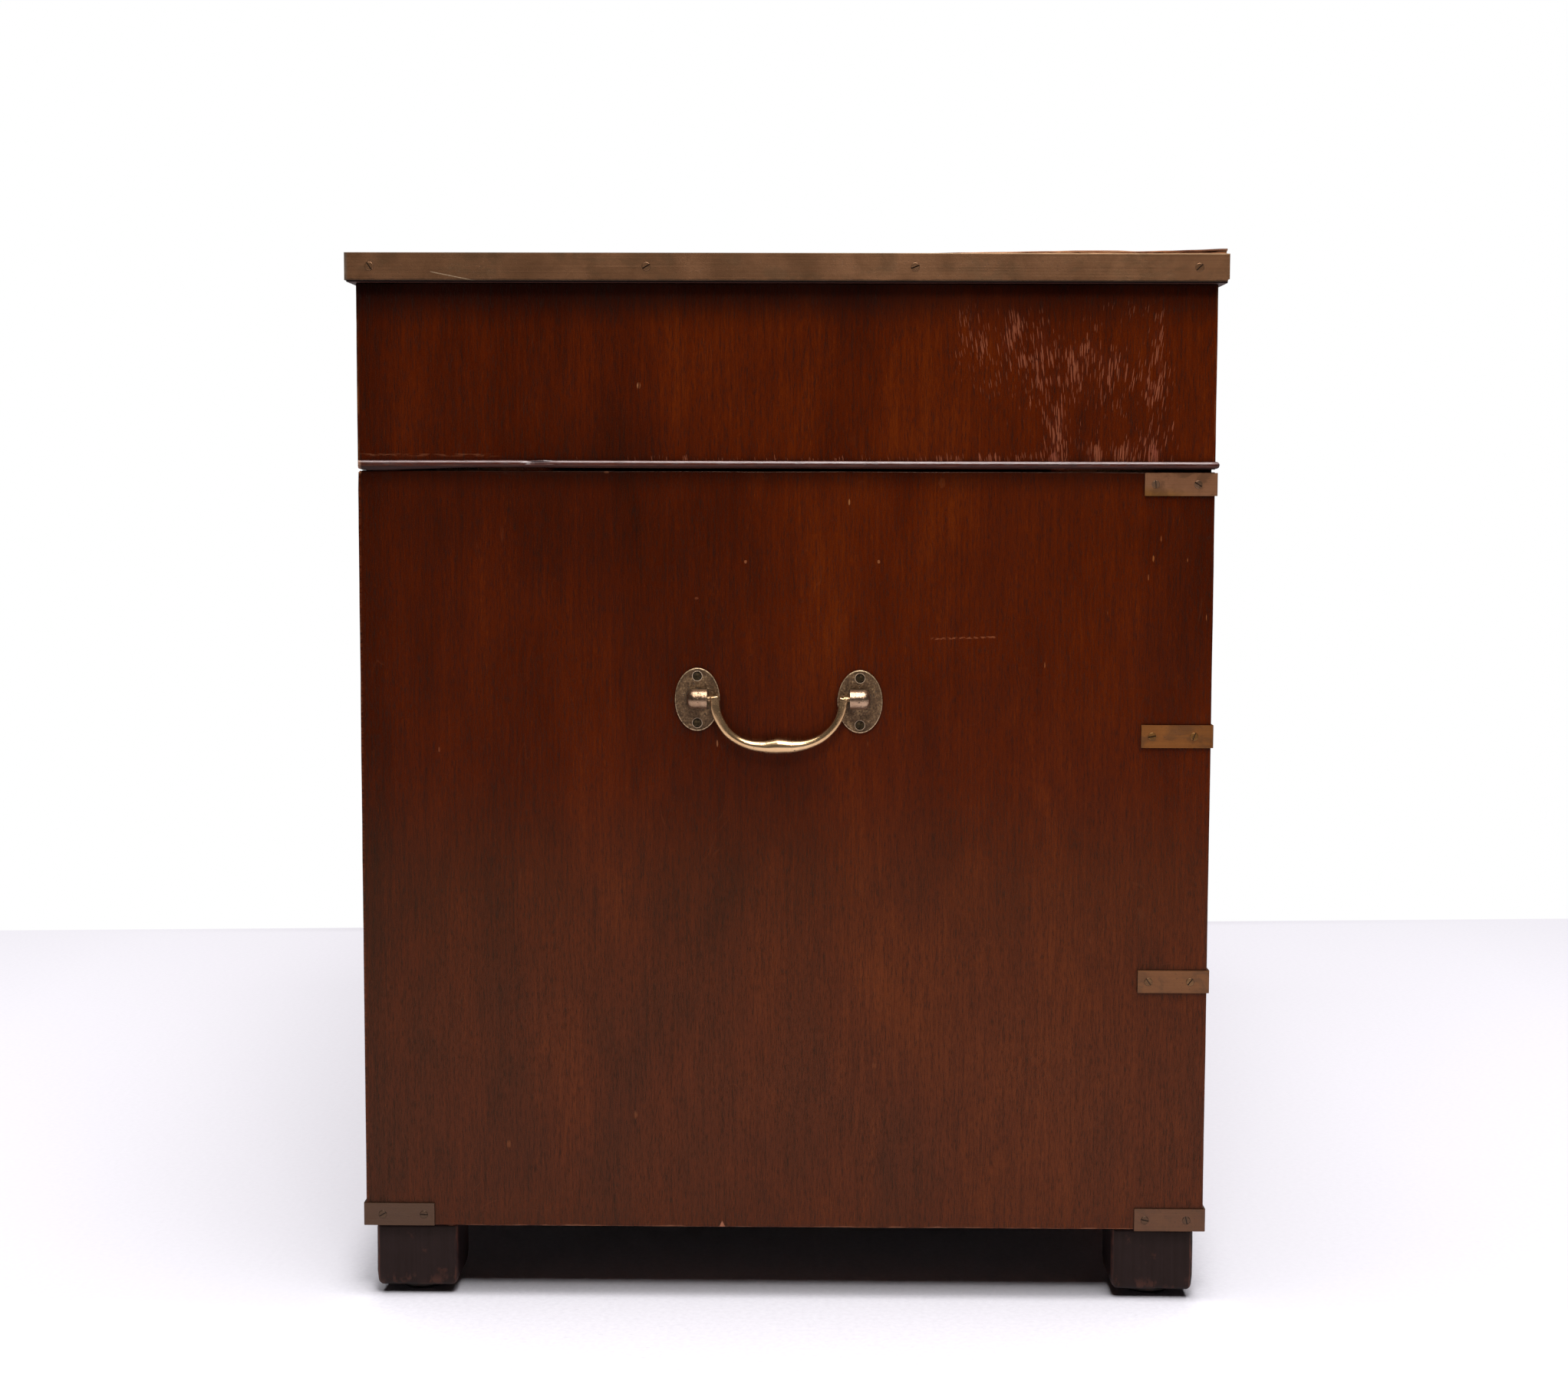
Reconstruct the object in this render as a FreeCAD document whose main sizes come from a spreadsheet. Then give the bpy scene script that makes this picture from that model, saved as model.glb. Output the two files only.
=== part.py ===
import FreeCAD, Part
import math
import os
import re
import Sketcher
from FreeCAD import Placement, Rotation, Vector

# Three-section campaign desk: two drawer pedestals and a lift-off top section.
# Frame: origin on the floor under the middle of the desk, +X along its length,
# front faces -Y, +Z up. Millimetres.

os.makedirs("parts", exist_ok=True)
doc = FreeCAD.newDocument("campaign_desk")
sheet = doc.addObject("Spreadsheet::Sheet", "dims")

DIMS = [
    # case
    ("case_x", 600.0, "outer face of the case ends"),
    ("case_y", 299.0, "front and back faces of the case"),
    ("board", 18.0, "thickness of the case boards"),
    ("knee_x", 210.0, "inner face of each pedestal, half the kneehole"),
    ("ped_low", 52.6, "underside of the pedestals"),
    ("ped_high", 591.4, "top of the pedestals"),
    ("end_low", 593.2, "underside of the top section's ends"),
    ("case_high", 721.0, "underside of the top board"),
    ("rail_deep", 40.0, "depth of the rails, front to back"),
    ("back_thick", 10.0, "pedestal back panels"),
    ("frieze_back_thick", 12.0, "back of the top section"),
    # top
    ("top_high", 741.0, "height of the desk"),
    ("band_x", 610.0, "outer face of the brass band at the ends"),
    ("band_y", 305.0, "outer face of the brass band, front and back"),
    ("band_thick", 1.2, "brass band"),
    ("band_low", 722.0, "lower edge of the band on the ends"),
    ("band_front_low", 723.6, "lower edge of the front strip"),
    ("leather_border", 62.0, "wooden border round the leather"),
    ("leather_thick", 1.5, "leather"),
    # bead under the top section
    ("bead_low", 593.5, "lower edge of the bead"),
    ("bead_tall", 5.0, "bead height"),
    ("bead_out", 3.0, "bead projection"),
    # drawers
    ("slack", 0.4, "gap above and below a drawer front"),
    ("side_gap", 0.5, "gap at each side of a drawer front"),
    ("front_thick", 20.0, "drawer front, bead included"),
    ("cock_out", 1.1, "projection of the cock bead"),
    ("cock_wide", 3.0, "width of the cock bead"),
    ("cock_round", 0.9, "rounding of the cock bead"),
    ("nose_upper", 300.4, "cock bead nose, frieze and upper drawers"),
    ("nose_lower", 299.8, "cock bead nose, bottom drawer"),
    ("row_f_low", 615.4, "frieze drawer front"),
    ("row_f_high", 696.7, ""),
    ("row_a_low", 422.9, "top pedestal drawer front"),
    ("row_a_high", 567.5, ""),
    ("row_b_low", 249.7, "middle pedestal drawer front"),
    ("row_b_high", 394.2, ""),
    ("row_c_low", 78.0, "bottom pedestal drawer front"),
    ("row_c_high", 221.0, ""),
    ("lining", 10.0, "drawer side and back thickness"),
    ("lining_base", 6.0, "drawer bottom thickness"),
    ("box_deep", 545.0, "drawer sides, front to back"),
    ("runner_wide", 20.0, "pedestal drawer runner"),
    ("runner_tall", 16.0, ""),
    # flush pulls
    ("plate_wide", 92.0, "pull plate"),
    ("plate_tall", 40.0, ""),
    ("plate_thick", 2.0, ""),
    ("pan_wide", 78.0, "outside of the pan behind the plate"),
    ("pan_tall", 28.0, ""),
    ("pan_deep", 13.0, "from the plate's face to the pan's outer back"),
    ("pan_in_wide", 72.0, "inside of the pan"),
    ("pan_in_tall", 25.0, ""),
    ("pan_in_deep", 12.0, ""),
    ("pull_axis_z", 8.5, "pivot above the plate's middle"),
    ("pull_axis_y", 3.0, "pivot behind the plate's face"),
    ("pull_rod", 1.9, "bail rod radius"),
    ("pull_hole", 1.95, "pivot hole radius"),
    ("pull_pin", 38.4, "bail pin end from the middle"),
    ("pull_arm", 31.0, "bail arm centre from the middle"),
    ("pull_drop", 18.0, "bail bar below the pivot"),
    ("pull_screw_x", 42.5, "pull screws from the middle"),
    # feet
    ("foot_side", 58.5, "block foot"),
    ("foot_low", 6.0, "underside of the foot"),
    ("foot_in", 6.0, "foot set in from the case side"),
    ("foot_back", 293.0, "rear face of the back feet"),
    ("foot_front", 293.5, "front face of the front feet"),
    ("glide_r", 17.0, "glide radius"),
    # straps
    ("strap_leg", 49.0, "strap leg from the case corner"),
    ("strap_tall", 16.0, ""),
    ("strap_thick", 1.6, ""),
    ("strap_hole", 2.85, ""),
    ("strap_near", 12.0, "screw nearest the corner"),
    ("strap_far", 41.5, "screw furthest from the corner"),
    # carry handles
    ("handle_mid_y", 4.5, "middle of the handle"),
    ("handle_axis_z", 432.2, "pivot height"),
    ("handle_axis_out", 7.0, "pivot out from the case side"),
    ("handle_rod", 3.3, "bail rod radius"),
    ("handle_pin_r", 2.5, "pivot pin radius"),
    ("handle_hole", 2.55, "pivot hole radius"),
    ("handle_arm", 44.7, "arm centre from the middle"),
    ("handle_pin", 58.6, "pin end from the middle"),
    ("handle_top", 1.4, "arm ends cut off above the pivot"),
    ("handle_drop", 33.9, "lowest point of the bail's centre line below the pivot"),
    ("bend_side", 30.0, "radius of the bail's shoulders"),
    ("bend_base", 114.0, "radius of the bail's base"),
    ("grip_low", 32.9, "grip axis below the pivot"),
    ("grip_r", 5.1, "grip radius at its middle"),
    ("knuckle_in", 50.0, "inner face of the hoods from the middle"),
    ("knuckle_long", 14.2, "hood length"),
    ("knuckle_r", 6.8, "hood radius"),
    ("oval_wide", 31.6, "oval plate"),
    ("oval_tall", 44.4, ""),
    ("oval_thick", 1.8, ""),
    ("oval_screw", 16.5, "screw above and below the plate's middle"),
    # dowels
    ("dowel_r", 5.0, ""),
    ("dowel_hole", 5.3, ""),
]
V = {}
for i, (alias, value, note) in enumerate(DIMS, start=1):
    sheet.set("A%d" % i, alias)
    sheet.set("B%d" % i, repr(value))
    if note:
        sheet.set("C%d" % i, note)
    sheet.setAlias("B%d" % i, alias)
    V[alias] = value
doc.recompute()

NAMES = sorted(V, key=len, reverse=True)
WORD = re.compile(r"\b(" + "|".join(NAMES) + r")\b")


def ex(text):
    """An expression in sheet words, as the document wants it."""
    return WORD.sub(r"dims.\1", str(text))


def val(text):
    """The number that an expression in sheet words comes to."""
    return sheet_value(str(text))


def sheet_value(text):
    tokens = re.findall(r"[A-Za-z_]+|[0-9.]+|[-+*/()]", text)
    pos = [0]

    def peek():
        return tokens[pos[0]] if pos[0] < len(tokens) else None

    def take():
        tok = tokens[pos[0]]
        pos[0] += 1
        return tok

    def atom():
        tok = take()
        if tok == "(":
            out = total()
            take()
            return out
        if tok == "-":
            return -atom()
        if tok == "+":
            return atom()
        if tok in V:
            return V[tok]
        return float(tok)

    def product():
        out = atom()
        while peek() in ("*", "/"):
            if take() == "*":
                out *= atom()
            else:
                out /= atom()
        return out

    def total():
        out = product()
        while peek() in ("+", "-"):
            if take() == "+":
                out += product()
            else:
                out -= product()
        return out

    return total()


def bind(obj, prop, text):
    obj.setExpression(prop, ex(text))


def place(obj, x="0", y="0", z="0", axis=None, angle=0.0):
    if axis is not None:
        obj.Placement = Placement(Vector(val(x), val(y), val(z)), Rotation(Vector(*axis), angle))
    bind(obj, ".Placement.Base.x", x)
    bind(obj, ".Placement.Base.y", y)
    bind(obj, ".Placement.Base.z", z)


def block(name, x, y, z):
    """A board given by its limits along each axis, as pairs of expressions."""
    obj = doc.addObject("Part::Box", name)
    bind(obj, "Length", "(%s) - (%s)" % (x[1], x[0]))
    bind(obj, "Width", "(%s) - (%s)" % (y[1], y[0]))
    bind(obj, "Height", "(%s) - (%s)" % (z[1], z[0]))
    place(obj, x[0], y[0], z[0])
    return obj


def rod(name, radius, length, x, y, z, axis=None, angle=0.0):
    obj = doc.addObject("Part::Cylinder", name)
    bind(obj, "Radius", radius)
    bind(obj, "Height", length)
    place(obj, x, y, z, axis, angle)
    return obj


def side(s, a, b):
    """Limits a < b measured outward from the middle, on the left or right."""
    return (a, b) if s > 0 else ("-(%s)" % b, "-(%s)" % a)


NODES = []


def node(obj, label):
    obj.Label = label
    NODES.append(obj)
    return obj


def group(label, members):
    obj = doc.addObject("Part::Compound", label)
    obj.Links = members
    return node(obj, label)


def cut(name, base, tool):
    obj = doc.addObject("Part::Cut", name)
    obj.Base = base
    obj.Tool = tool
    return obj


def fuse(name, members):
    obj = doc.addObject("Part::MultiFuse", name)
    obj.Shapes = members
    obj.Refine = True
    return obj


def copies(name, master, placements):
    """A group of identical pieces: the master's solid at each placement."""
    doc.recompute()
    shapes = []
    for p in placements:
        s = master.Shape.copy()
        s.Placement = p.multiply(master.Shape.Placement)
        shapes.append(s)
    obj = doc.addObject("Part::Feature", name)
    obj.Shape = Part.makeCompound(shapes)
    return obj


# ---------------------------------------------------------------- sketches
def plane(body, role):
    return [f for f in body.Origin.OriginFeatures if f.Role == role][0]


def sketch(body, name, role, offset=None):
    sk = body.newObject("Sketcher::SketchObject", name)
    sk.AttachmentSupport = (plane(body, role), [""])
    sk.MapMode = "FlatFace"
    if offset is not None:
        sk.AttachmentOffset = Placement(Vector(0, 0, val(offset)), Rotation())
        bind(sk, ".AttachmentOffset.Base.z", offset)
    return sk


def fix(sk, geo, point, x=None, y=None):
    if x is not None:
        if abs(val(x)) < 1e-9:
            sk.addConstraint(Sketcher.Constraint("PointOnObject", geo, point, -2))
        else:
            c = sk.addConstraint(Sketcher.Constraint("DistanceX", -1, 1, geo, point, val(x)))
            bind(sk, "Constraints[%d]" % c, x)
    if y is not None:
        if abs(val(y)) < 1e-9:
            sk.addConstraint(Sketcher.Constraint("PointOnObject", geo, point, -1))
        else:
            c = sk.addConstraint(Sketcher.Constraint("DistanceY", -1, 1, geo, point, val(y)))
            bind(sk, "Constraints[%d]" % c, y)


def outline(sk, pts):
    """A closed outline through points given as pairs of expressions."""
    n = len(pts)
    first = sk.GeometryCount
    for i in range(n):
        a, b = pts[i], pts[(i + 1) % n]
        sk.addGeometry(Part.LineSegment(Vector(val(a[0]), val(a[1]), 0), Vector(val(b[0]), val(b[1]), 0)), False)
    for i in range(n):
        sk.addConstraint(Sketcher.Constraint("Coincident", first + i, 2, first + (i + 1) % n, 1))
    for i in range(n):
        fix(sk, first + i, 1, pts[i][0], pts[i][1])


def rectangle(sk, half_x, half_y, mid_x="0", mid_y="0"):
    x0, x1 = "(%s) - (%s)" % (mid_x, half_x), "(%s) + (%s)" % (mid_x, half_x)
    y0, y1 = "(%s) - (%s)" % (mid_y, half_y), "(%s) + (%s)" % (mid_y, half_y)
    outline(sk, [(x0, y0), (x1, y0), (x1, y1), (x0, y1)])


def circle(sk, x, y, r):
    g = sk.addGeometry(Part.Circle(Vector(val(x), val(y), 0), Vector(0, 0, 1), val(r)), False)
    fix(sk, g, 3, x, y)
    c = sk.addConstraint(Sketcher.Constraint("Radius", g, val(r)))
    bind(sk, "Constraints[%d]" % c, r)


def bent_path(sk, pts, radii):
    """An open path of level and upright runs, rounded at its corners."""
    P = [Vector(val(a), val(b), 0) for a, b in pts]
    n = len(P)
    ends = [P[0]]
    arcs = []
    for i in range(1, n - 1):
        r = val(radii[i - 1])
        u = (P[i - 1] - P[i]).normalize()
        w = (P[i + 1] - P[i]).normalize()
        a, b = P[i] + u * r, P[i] + w * r
        centre = a + w * r
        ends += [a, b]
        arcs.append((a, b, centre, radii[i - 1]))
    ends.append(P[-1])
    runs, bends = [], []
    for i in range(n - 1):
        runs.append(sk.addGeometry(Part.LineSegment(ends[2 * i], ends[2 * i + 1]), False))
        if i < n - 2:
            a, b, c, r = arcs[i]
            ta, tb = math.atan2(a.y - c.y, a.x - c.x), math.atan2(b.y - c.y, b.x - c.x)
            forward = (a - c).cross(b - c).z > 0
            t0, t1 = (ta, tb) if forward else (tb, ta)
            if t1 < t0:
                t1 += 2 * math.pi
            g = sk.addGeometry(Part.ArcOfCircle(Part.Circle(c, Vector(0, 0, 1), val(r)), t0, t1), False)
            bends.append((g, 1 if forward else 2, 2 if forward else 1, r))
    for i, g in enumerate(runs):
        level = abs(P[i].y - P[i + 1].y) < 1e-9
        sk.addConstraint(Sketcher.Constraint("Horizontal" if level else "Vertical", g))
        fix(sk, g, 1, None if level else pts[i][0], pts[i][1] if level else None)
    for i, (g, a, b, r) in enumerate(bends):
        sk.addConstraint(Sketcher.Constraint("Tangent", runs[i], 2, g, a))
        sk.addConstraint(Sketcher.Constraint("Tangent", g, b, runs[i + 1], 1))
        c = sk.addConstraint(Sketcher.Constraint("Radius", g, val(r)))
        bind(sk, "Constraints[%d]" % c, r)
    fix(sk, runs[0], 1, pts[0][0], None)
    fix(sk, runs[-1], 2, pts[-1][0], None)


def pad(body, name, sk, length, back=False):
    f = body.newObject("PartDesign::Pad", name)
    f.Profile = sk
    bind(f, "Length", length)
    f.Reversed = back
    return f


def pocket(body, name, sk, length, back=False):
    f = body.newObject("PartDesign::Pocket", name)
    f.Profile = sk
    bind(f, "Length", length)
    f.Reversed = back
    before = f.BaseFeature.Shape.Volume if f.BaseFeature else 0.0
    doc.recompute()
    if not f.Shape.Volume < before - 1e-3:
        raise RuntimeError("%s cuts nothing" % name)
    return f


def edges(shape, test):
    return ["Edge%d" % (i + 1) for i, e in enumerate(shape.Edges) if test(e)]


def near(a, b, tol=1e-3):
    return abs(a - b) < tol


# ---------------------------------------------------------------- fasteners
def slotted_screw(name, head_r, head_tall, proud, shank_r, shank_long, slot_wide, slot_deep):
    """A slotted screw along +Z, its seat surface at z = 0, head standing proud."""
    head = rod(name + "_head", head_r, head_tall, "0", "0", "%g - %g" % (proud, head_tall))
    doc.recompute()
    top = doc.addObject("Part::Fillet", name + "_crown")
    top.Base = head
    ids = [int(e[4:]) for e in edges(head.Shape, lambda e: near(e.CenterOfMass.z, proud) and isinstance(e.Curve, Part.Circle))]
    top.Edges = [(k, 0.45, 0.45) for k in ids]
    shank = rod(name + "_shank", shank_r, shank_long, "0", "0", "%g - %g - %g" % (proud, head_tall, shank_long))
    whole = fuse(name + "_blank", [top, shank])
    slot = block(name + "_slot", ("-%g" % (head_r * 1.2), "%g" % (head_r * 1.2)), ("-%g" % (slot_wide / 2), "%g" % (slot_wide / 2)),
                 ("%g - %g" % (proud, slot_deep), "%g + 1" % proud))
    return cut(name, whole, slot)


band_screw = slotted_screw("band_screw", 3.0, 1.5, 0.35, 1.4, 12.0, 0.8, 0.8)
strap_screw = slotted_screw("strap_screw", 2.8, 1.8, 0.35, 1.4, 9.0, 0.75, 0.8)
oval_screw = slotted_screw("oval_plate_screw", 3.5, 1.6, 0.35, 1.5, 12.0, 0.9, 0.8)
pull_screw = slotted_screw("pull_plate_screw", 2.2, 1.9, 0.15, 1.0, 8.0, 0.6, 0.7)

OUT = {
    "-x": Rotation(Vector(0, 1, 0), -90),
    "+x": Rotation(Vector(0, 1, 0), 90),
    "-y": Rotation(Vector(1, 0, 0), 90),
    "+y": Rotation(Vector(1, 0, 0), -90),
}


def screw_at(x, y, z, out, turn):
    """Seat a screw at a point, facing out, its slot turned by an angle."""
    return Placement(Vector(x, y, z), OUT[out].multiply(Rotation(Vector(0, 0, 1), turn)))


TURN = [12, 78, 143, 35, 160, 101, 58, 6, 121, 87, 24, 149, 70, 111, 47, 168, 92, 18, 133, 64]

# ---------------------------------------------------------------- pedestals
LEFT_RIGHT = ((-1, "left"), (1, "right"))
ped_in = "knee_x + board"
ped_out = "case_x - board"
sides, dust, backs, rails, runners, feet, glides, dowels = [], [], [], [], [], [], [], []
ROWS = {"a": ("row_a_low", "row_a_high"), "b": ("row_b_low", "row_b_high"), "c": ("row_c_low", "row_c_high")}

for s, word in LEFT_RIGHT:
    # Outer side with its rear top corner rounded off.
    outer = block("outer_side_" + word, side(s, ped_out, "case_x"), ("-case_y", "case_y"), ("ped_low", "ped_high"))
    doc.recompute()
    eased = doc.addObject("Part::Fillet", "outer_side_eased_" + word)
    eased.Base = outer
    found = edges(outer.Shape, lambda e: near(e.CenterOfMass.y, V["case_y"]) and near(e.CenterOfMass.z, V["ped_high"]))
    eased.Edges = [(int(e[4:]), 3.0, 3.0) for e in found]
    inner = block("inner_side_" + word, side(s, "knee_x", ped_in), ("-case_y", "case_y"), ("ped_low", "ped_high"))
    sides += [eased, inner]
    backs.append(block("ped_back_" + word, side(s, ped_in, ped_out), ("case_y - back_thick", "case_y"), ("ped_low", "ped_high")))
    dust.append(block("ped_top_" + word, side(s, ped_in, ped_out), ("rail_deep - case_y", "case_y - back_thick"), ("ped_high - board", "ped_high")))
    dust.append(block("ped_bottom_" + word, side(s, ped_in, ped_out), ("rail_deep - case_y", "case_y - back_thick"), ("ped_low", "ped_low + board")))
    spans = [("row_a_high + slack", "ped_high"), ("row_b_high + slack", "row_a_low - slack"),
             ("row_c_high + slack", "row_b_low - slack"), ("ped_low", "row_c_low - slack")]
    for k, (z0, z1) in enumerate(spans):
        rails.append(block("ped_rail_%s_%d" % (word, k + 1), side(s, ped_in, ped_out), ("-case_y", "rail_deep - case_y"), (z0, z1)))
    for row, (low, high) in ROWS.items():
        floor = "ped_low + board" if row == "c" else "%s - slack - runner_tall" % low
        for k, lim in enumerate(((ped_in, ped_in + " + runner_wide"), (ped_out + " - runner_wide", ped_out))):
            runners.append(block("runner_%s_%s_%d" % (word, row, k + 1), side(s, *lim), ("rail_deep - case_y", "case_y - back_thick"), (floor, "%s - slack" % low)))

group("pedestal_sides", sides)
group("pedestal_backs", backs)
group("pedestal_tops_and_bottoms", dust)
group("pedestal_rails", rails)
group("pedestal_drawer_runners", runners)

# Block foot: a square block with softened arrises.
foot = doc.addObject("PartDesign::Body", "block_foot")
sk = sketch(foot, "foot_plan", "XY_Plane")
rectangle(sk, "foot_side / 2", "foot_side / 2")
fp = pad(foot, "foot_block", sk, "ped_low - foot_low")
doc.recompute()
fe = foot.newObject("PartDesign::Fillet", "foot_arrises")
fe.Base = (fp, edges(fp.Shape, lambda e: near(abs(e.tangentAt(e.FirstParameter).z), 1.0)))
fe.Radius = 4.0
doc.recompute()
fb = foot.newObject("PartDesign::Fillet", "foot_toe")
fb.Base = (fe, edges(fe.Shape, lambda e: near(e.BoundBox.ZMax, 0.0)))
fb.Radius = 2.5
doc.recompute()

# Glide: a low turned disc under each foot.
glide = doc.addObject("PartDesign::Body", "glide_disc")
sk = sketch(glide, "glide_half", "XZ_Plane")
outline(sk, [("0", "0"), ("glide_r - 2", "0"), ("glide_r", "2"), ("glide_r", "foot_low"), ("0", "foot_low")])
gr = glide.newObject("PartDesign::Revolution", "glide_turned")
gr.Profile = sk
gr.ReferenceAxis = (sk, ["V_Axis"])
gr.Angle = 360
doc.recompute()

foot_at, glide_at = [], []
for s, word in LEFT_RIGHT:
    for x in (s * val("case_x - foot_in - foot_side / 2"), s * val("knee_x + foot_in + foot_side / 2")):
        for y in (val("foot_back - foot_side / 2"), val("foot_side / 2 - foot_front")):
            foot_at.append(Placement(Vector(x, y, V["foot_low"]), Rotation()))
            glide_at.append(Placement(Vector(x, y, 0), Rotation()))
node(copies("feet", foot, foot_at), "block_feet")
node(copies("glides", glide, glide_at), "foot_glides")

# Corner strap: an L of brass round a vertical corner, four screw holes.
# Corner of the case at the local origin, legs along +X and +Y, brass outside them.
strap = doc.addObject("PartDesign::Body", "corner_strap")
sk = sketch(strap, "strap_plan", "XY_Plane")
outline(sk, [("-strap_thick", "-strap_thick"), ("strap_leg", "-strap_thick"), ("strap_leg", "0"), ("0", "0"), ("0", "strap_leg"), ("-strap_thick", "strap_leg")])
sp = pad(strap, "strap_bend", sk, "strap_tall")
for role, name in (("XZ_Plane", "front"), ("YZ_Plane", "side")):
    sk = sketch(strap, "strap_holes_" + name, role)
    circle(sk, "strap_near", "strap_tall / 2", "strap_hole")
    circle(sk, "strap_far", "strap_tall / 2", "strap_hole")
    f = strap.newObject("PartDesign::Pocket", "strap_drill_" + name)
    f.Profile = sk
    bind(f, "Length", "strap_thick + 1")
    f.Midplane = True
    bind(f, "Length", "2 * strap_thick + 2")
    doc.recompute()
sf = strap.newObject("PartDesign::Fillet", "strap_corner")
last = strap.Tip if strap.Tip.TypeId != "PartDesign::Fillet" else f
sf.Base = (f, edges(f.Shape, lambda e: near(e.CenterOfMass.x, -V["strap_thick"]) and near(e.CenterOfMass.y, -V["strap_thick"])))
sf.Radius = 1.3
doc.recompute()

strap_at, strap_screws_at = [], []
FRONT_Z = [52.0, 224.3, 398.6, 574.9]
BACK_Z = [52.9]
k = 0
for s, word in LEFT_RIGHT:
    for x in (s * V["case_x"], s * V["knee_x"]):
        faces_left = (s < 0) == (abs(x) > V["knee_x"] + 1)
        for back, levels in ((False, FRONT_Z), (True, BACK_Z)):
            # the L's legs point inward along X and inward along Y
            if not back:
                turn = 0 if faces_left else 90
            else:
                turn = -90 if faces_left else 180
            y = V["case_y"] if back else -V["case_y"]
            for z in levels:
                strap_at.append(Placement(Vector(x, y, z), Rotation(Vector(0, 0, 1), turn)))
                inx = 1 if faces_left else -1
                iny = -1 if back else 1
                zz = z + V["strap_tall"] / 2
                for d in (V["strap_near"], V["strap_far"]):
                    strap_screws_at.append(screw_at(x - inx * V["strap_thick"], y + iny * d, zz, "-x" if faces_left else "+x", TURN[k % 20]))
                    strap_screws_at.append(screw_at(x + inx * d, y - iny * V["strap_thick"], zz, "+y" if back else "-y", TURN[(k + 7) % 20]))
                    k += 1
node(copies("straps", strap, strap_at), "corner_straps")
node(copies("strap_screw_set", strap_screw, strap_screws_at), "strap_screws")

# Locating dowels: glued into the pedestal tops, loose in the top section's rails.
dowel_spots = []
for s, word in LEFT_RIGHT:
    x = "%d * (knee_x + case_x) / 2" % s
    for y in ("rail_deep / 2 - case_y", "case_y - frieze_back_thick - rail_deep / 2"):
        dowel_spots.append((x, y))
        d = rod("dowel_%d" % len(dowel_spots), "dowel_r", "27", x, y, "ped_high - 15.4")
        doc.recompute()
        e = doc.addObject("Part::Chamfer", "dowel_nosed_%d" % len(dowel_spots))
        e.Base = d
        e.Edges = [(int(n[4:]), 1.5, 1.5) for n in edges(d.Shape, lambda e: isinstance(e.Curve, Part.Circle) and e.CenterOfMass.z > V["ped_high"])]
        dowels.append(e)
group("locating_dowels", dowels)

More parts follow.
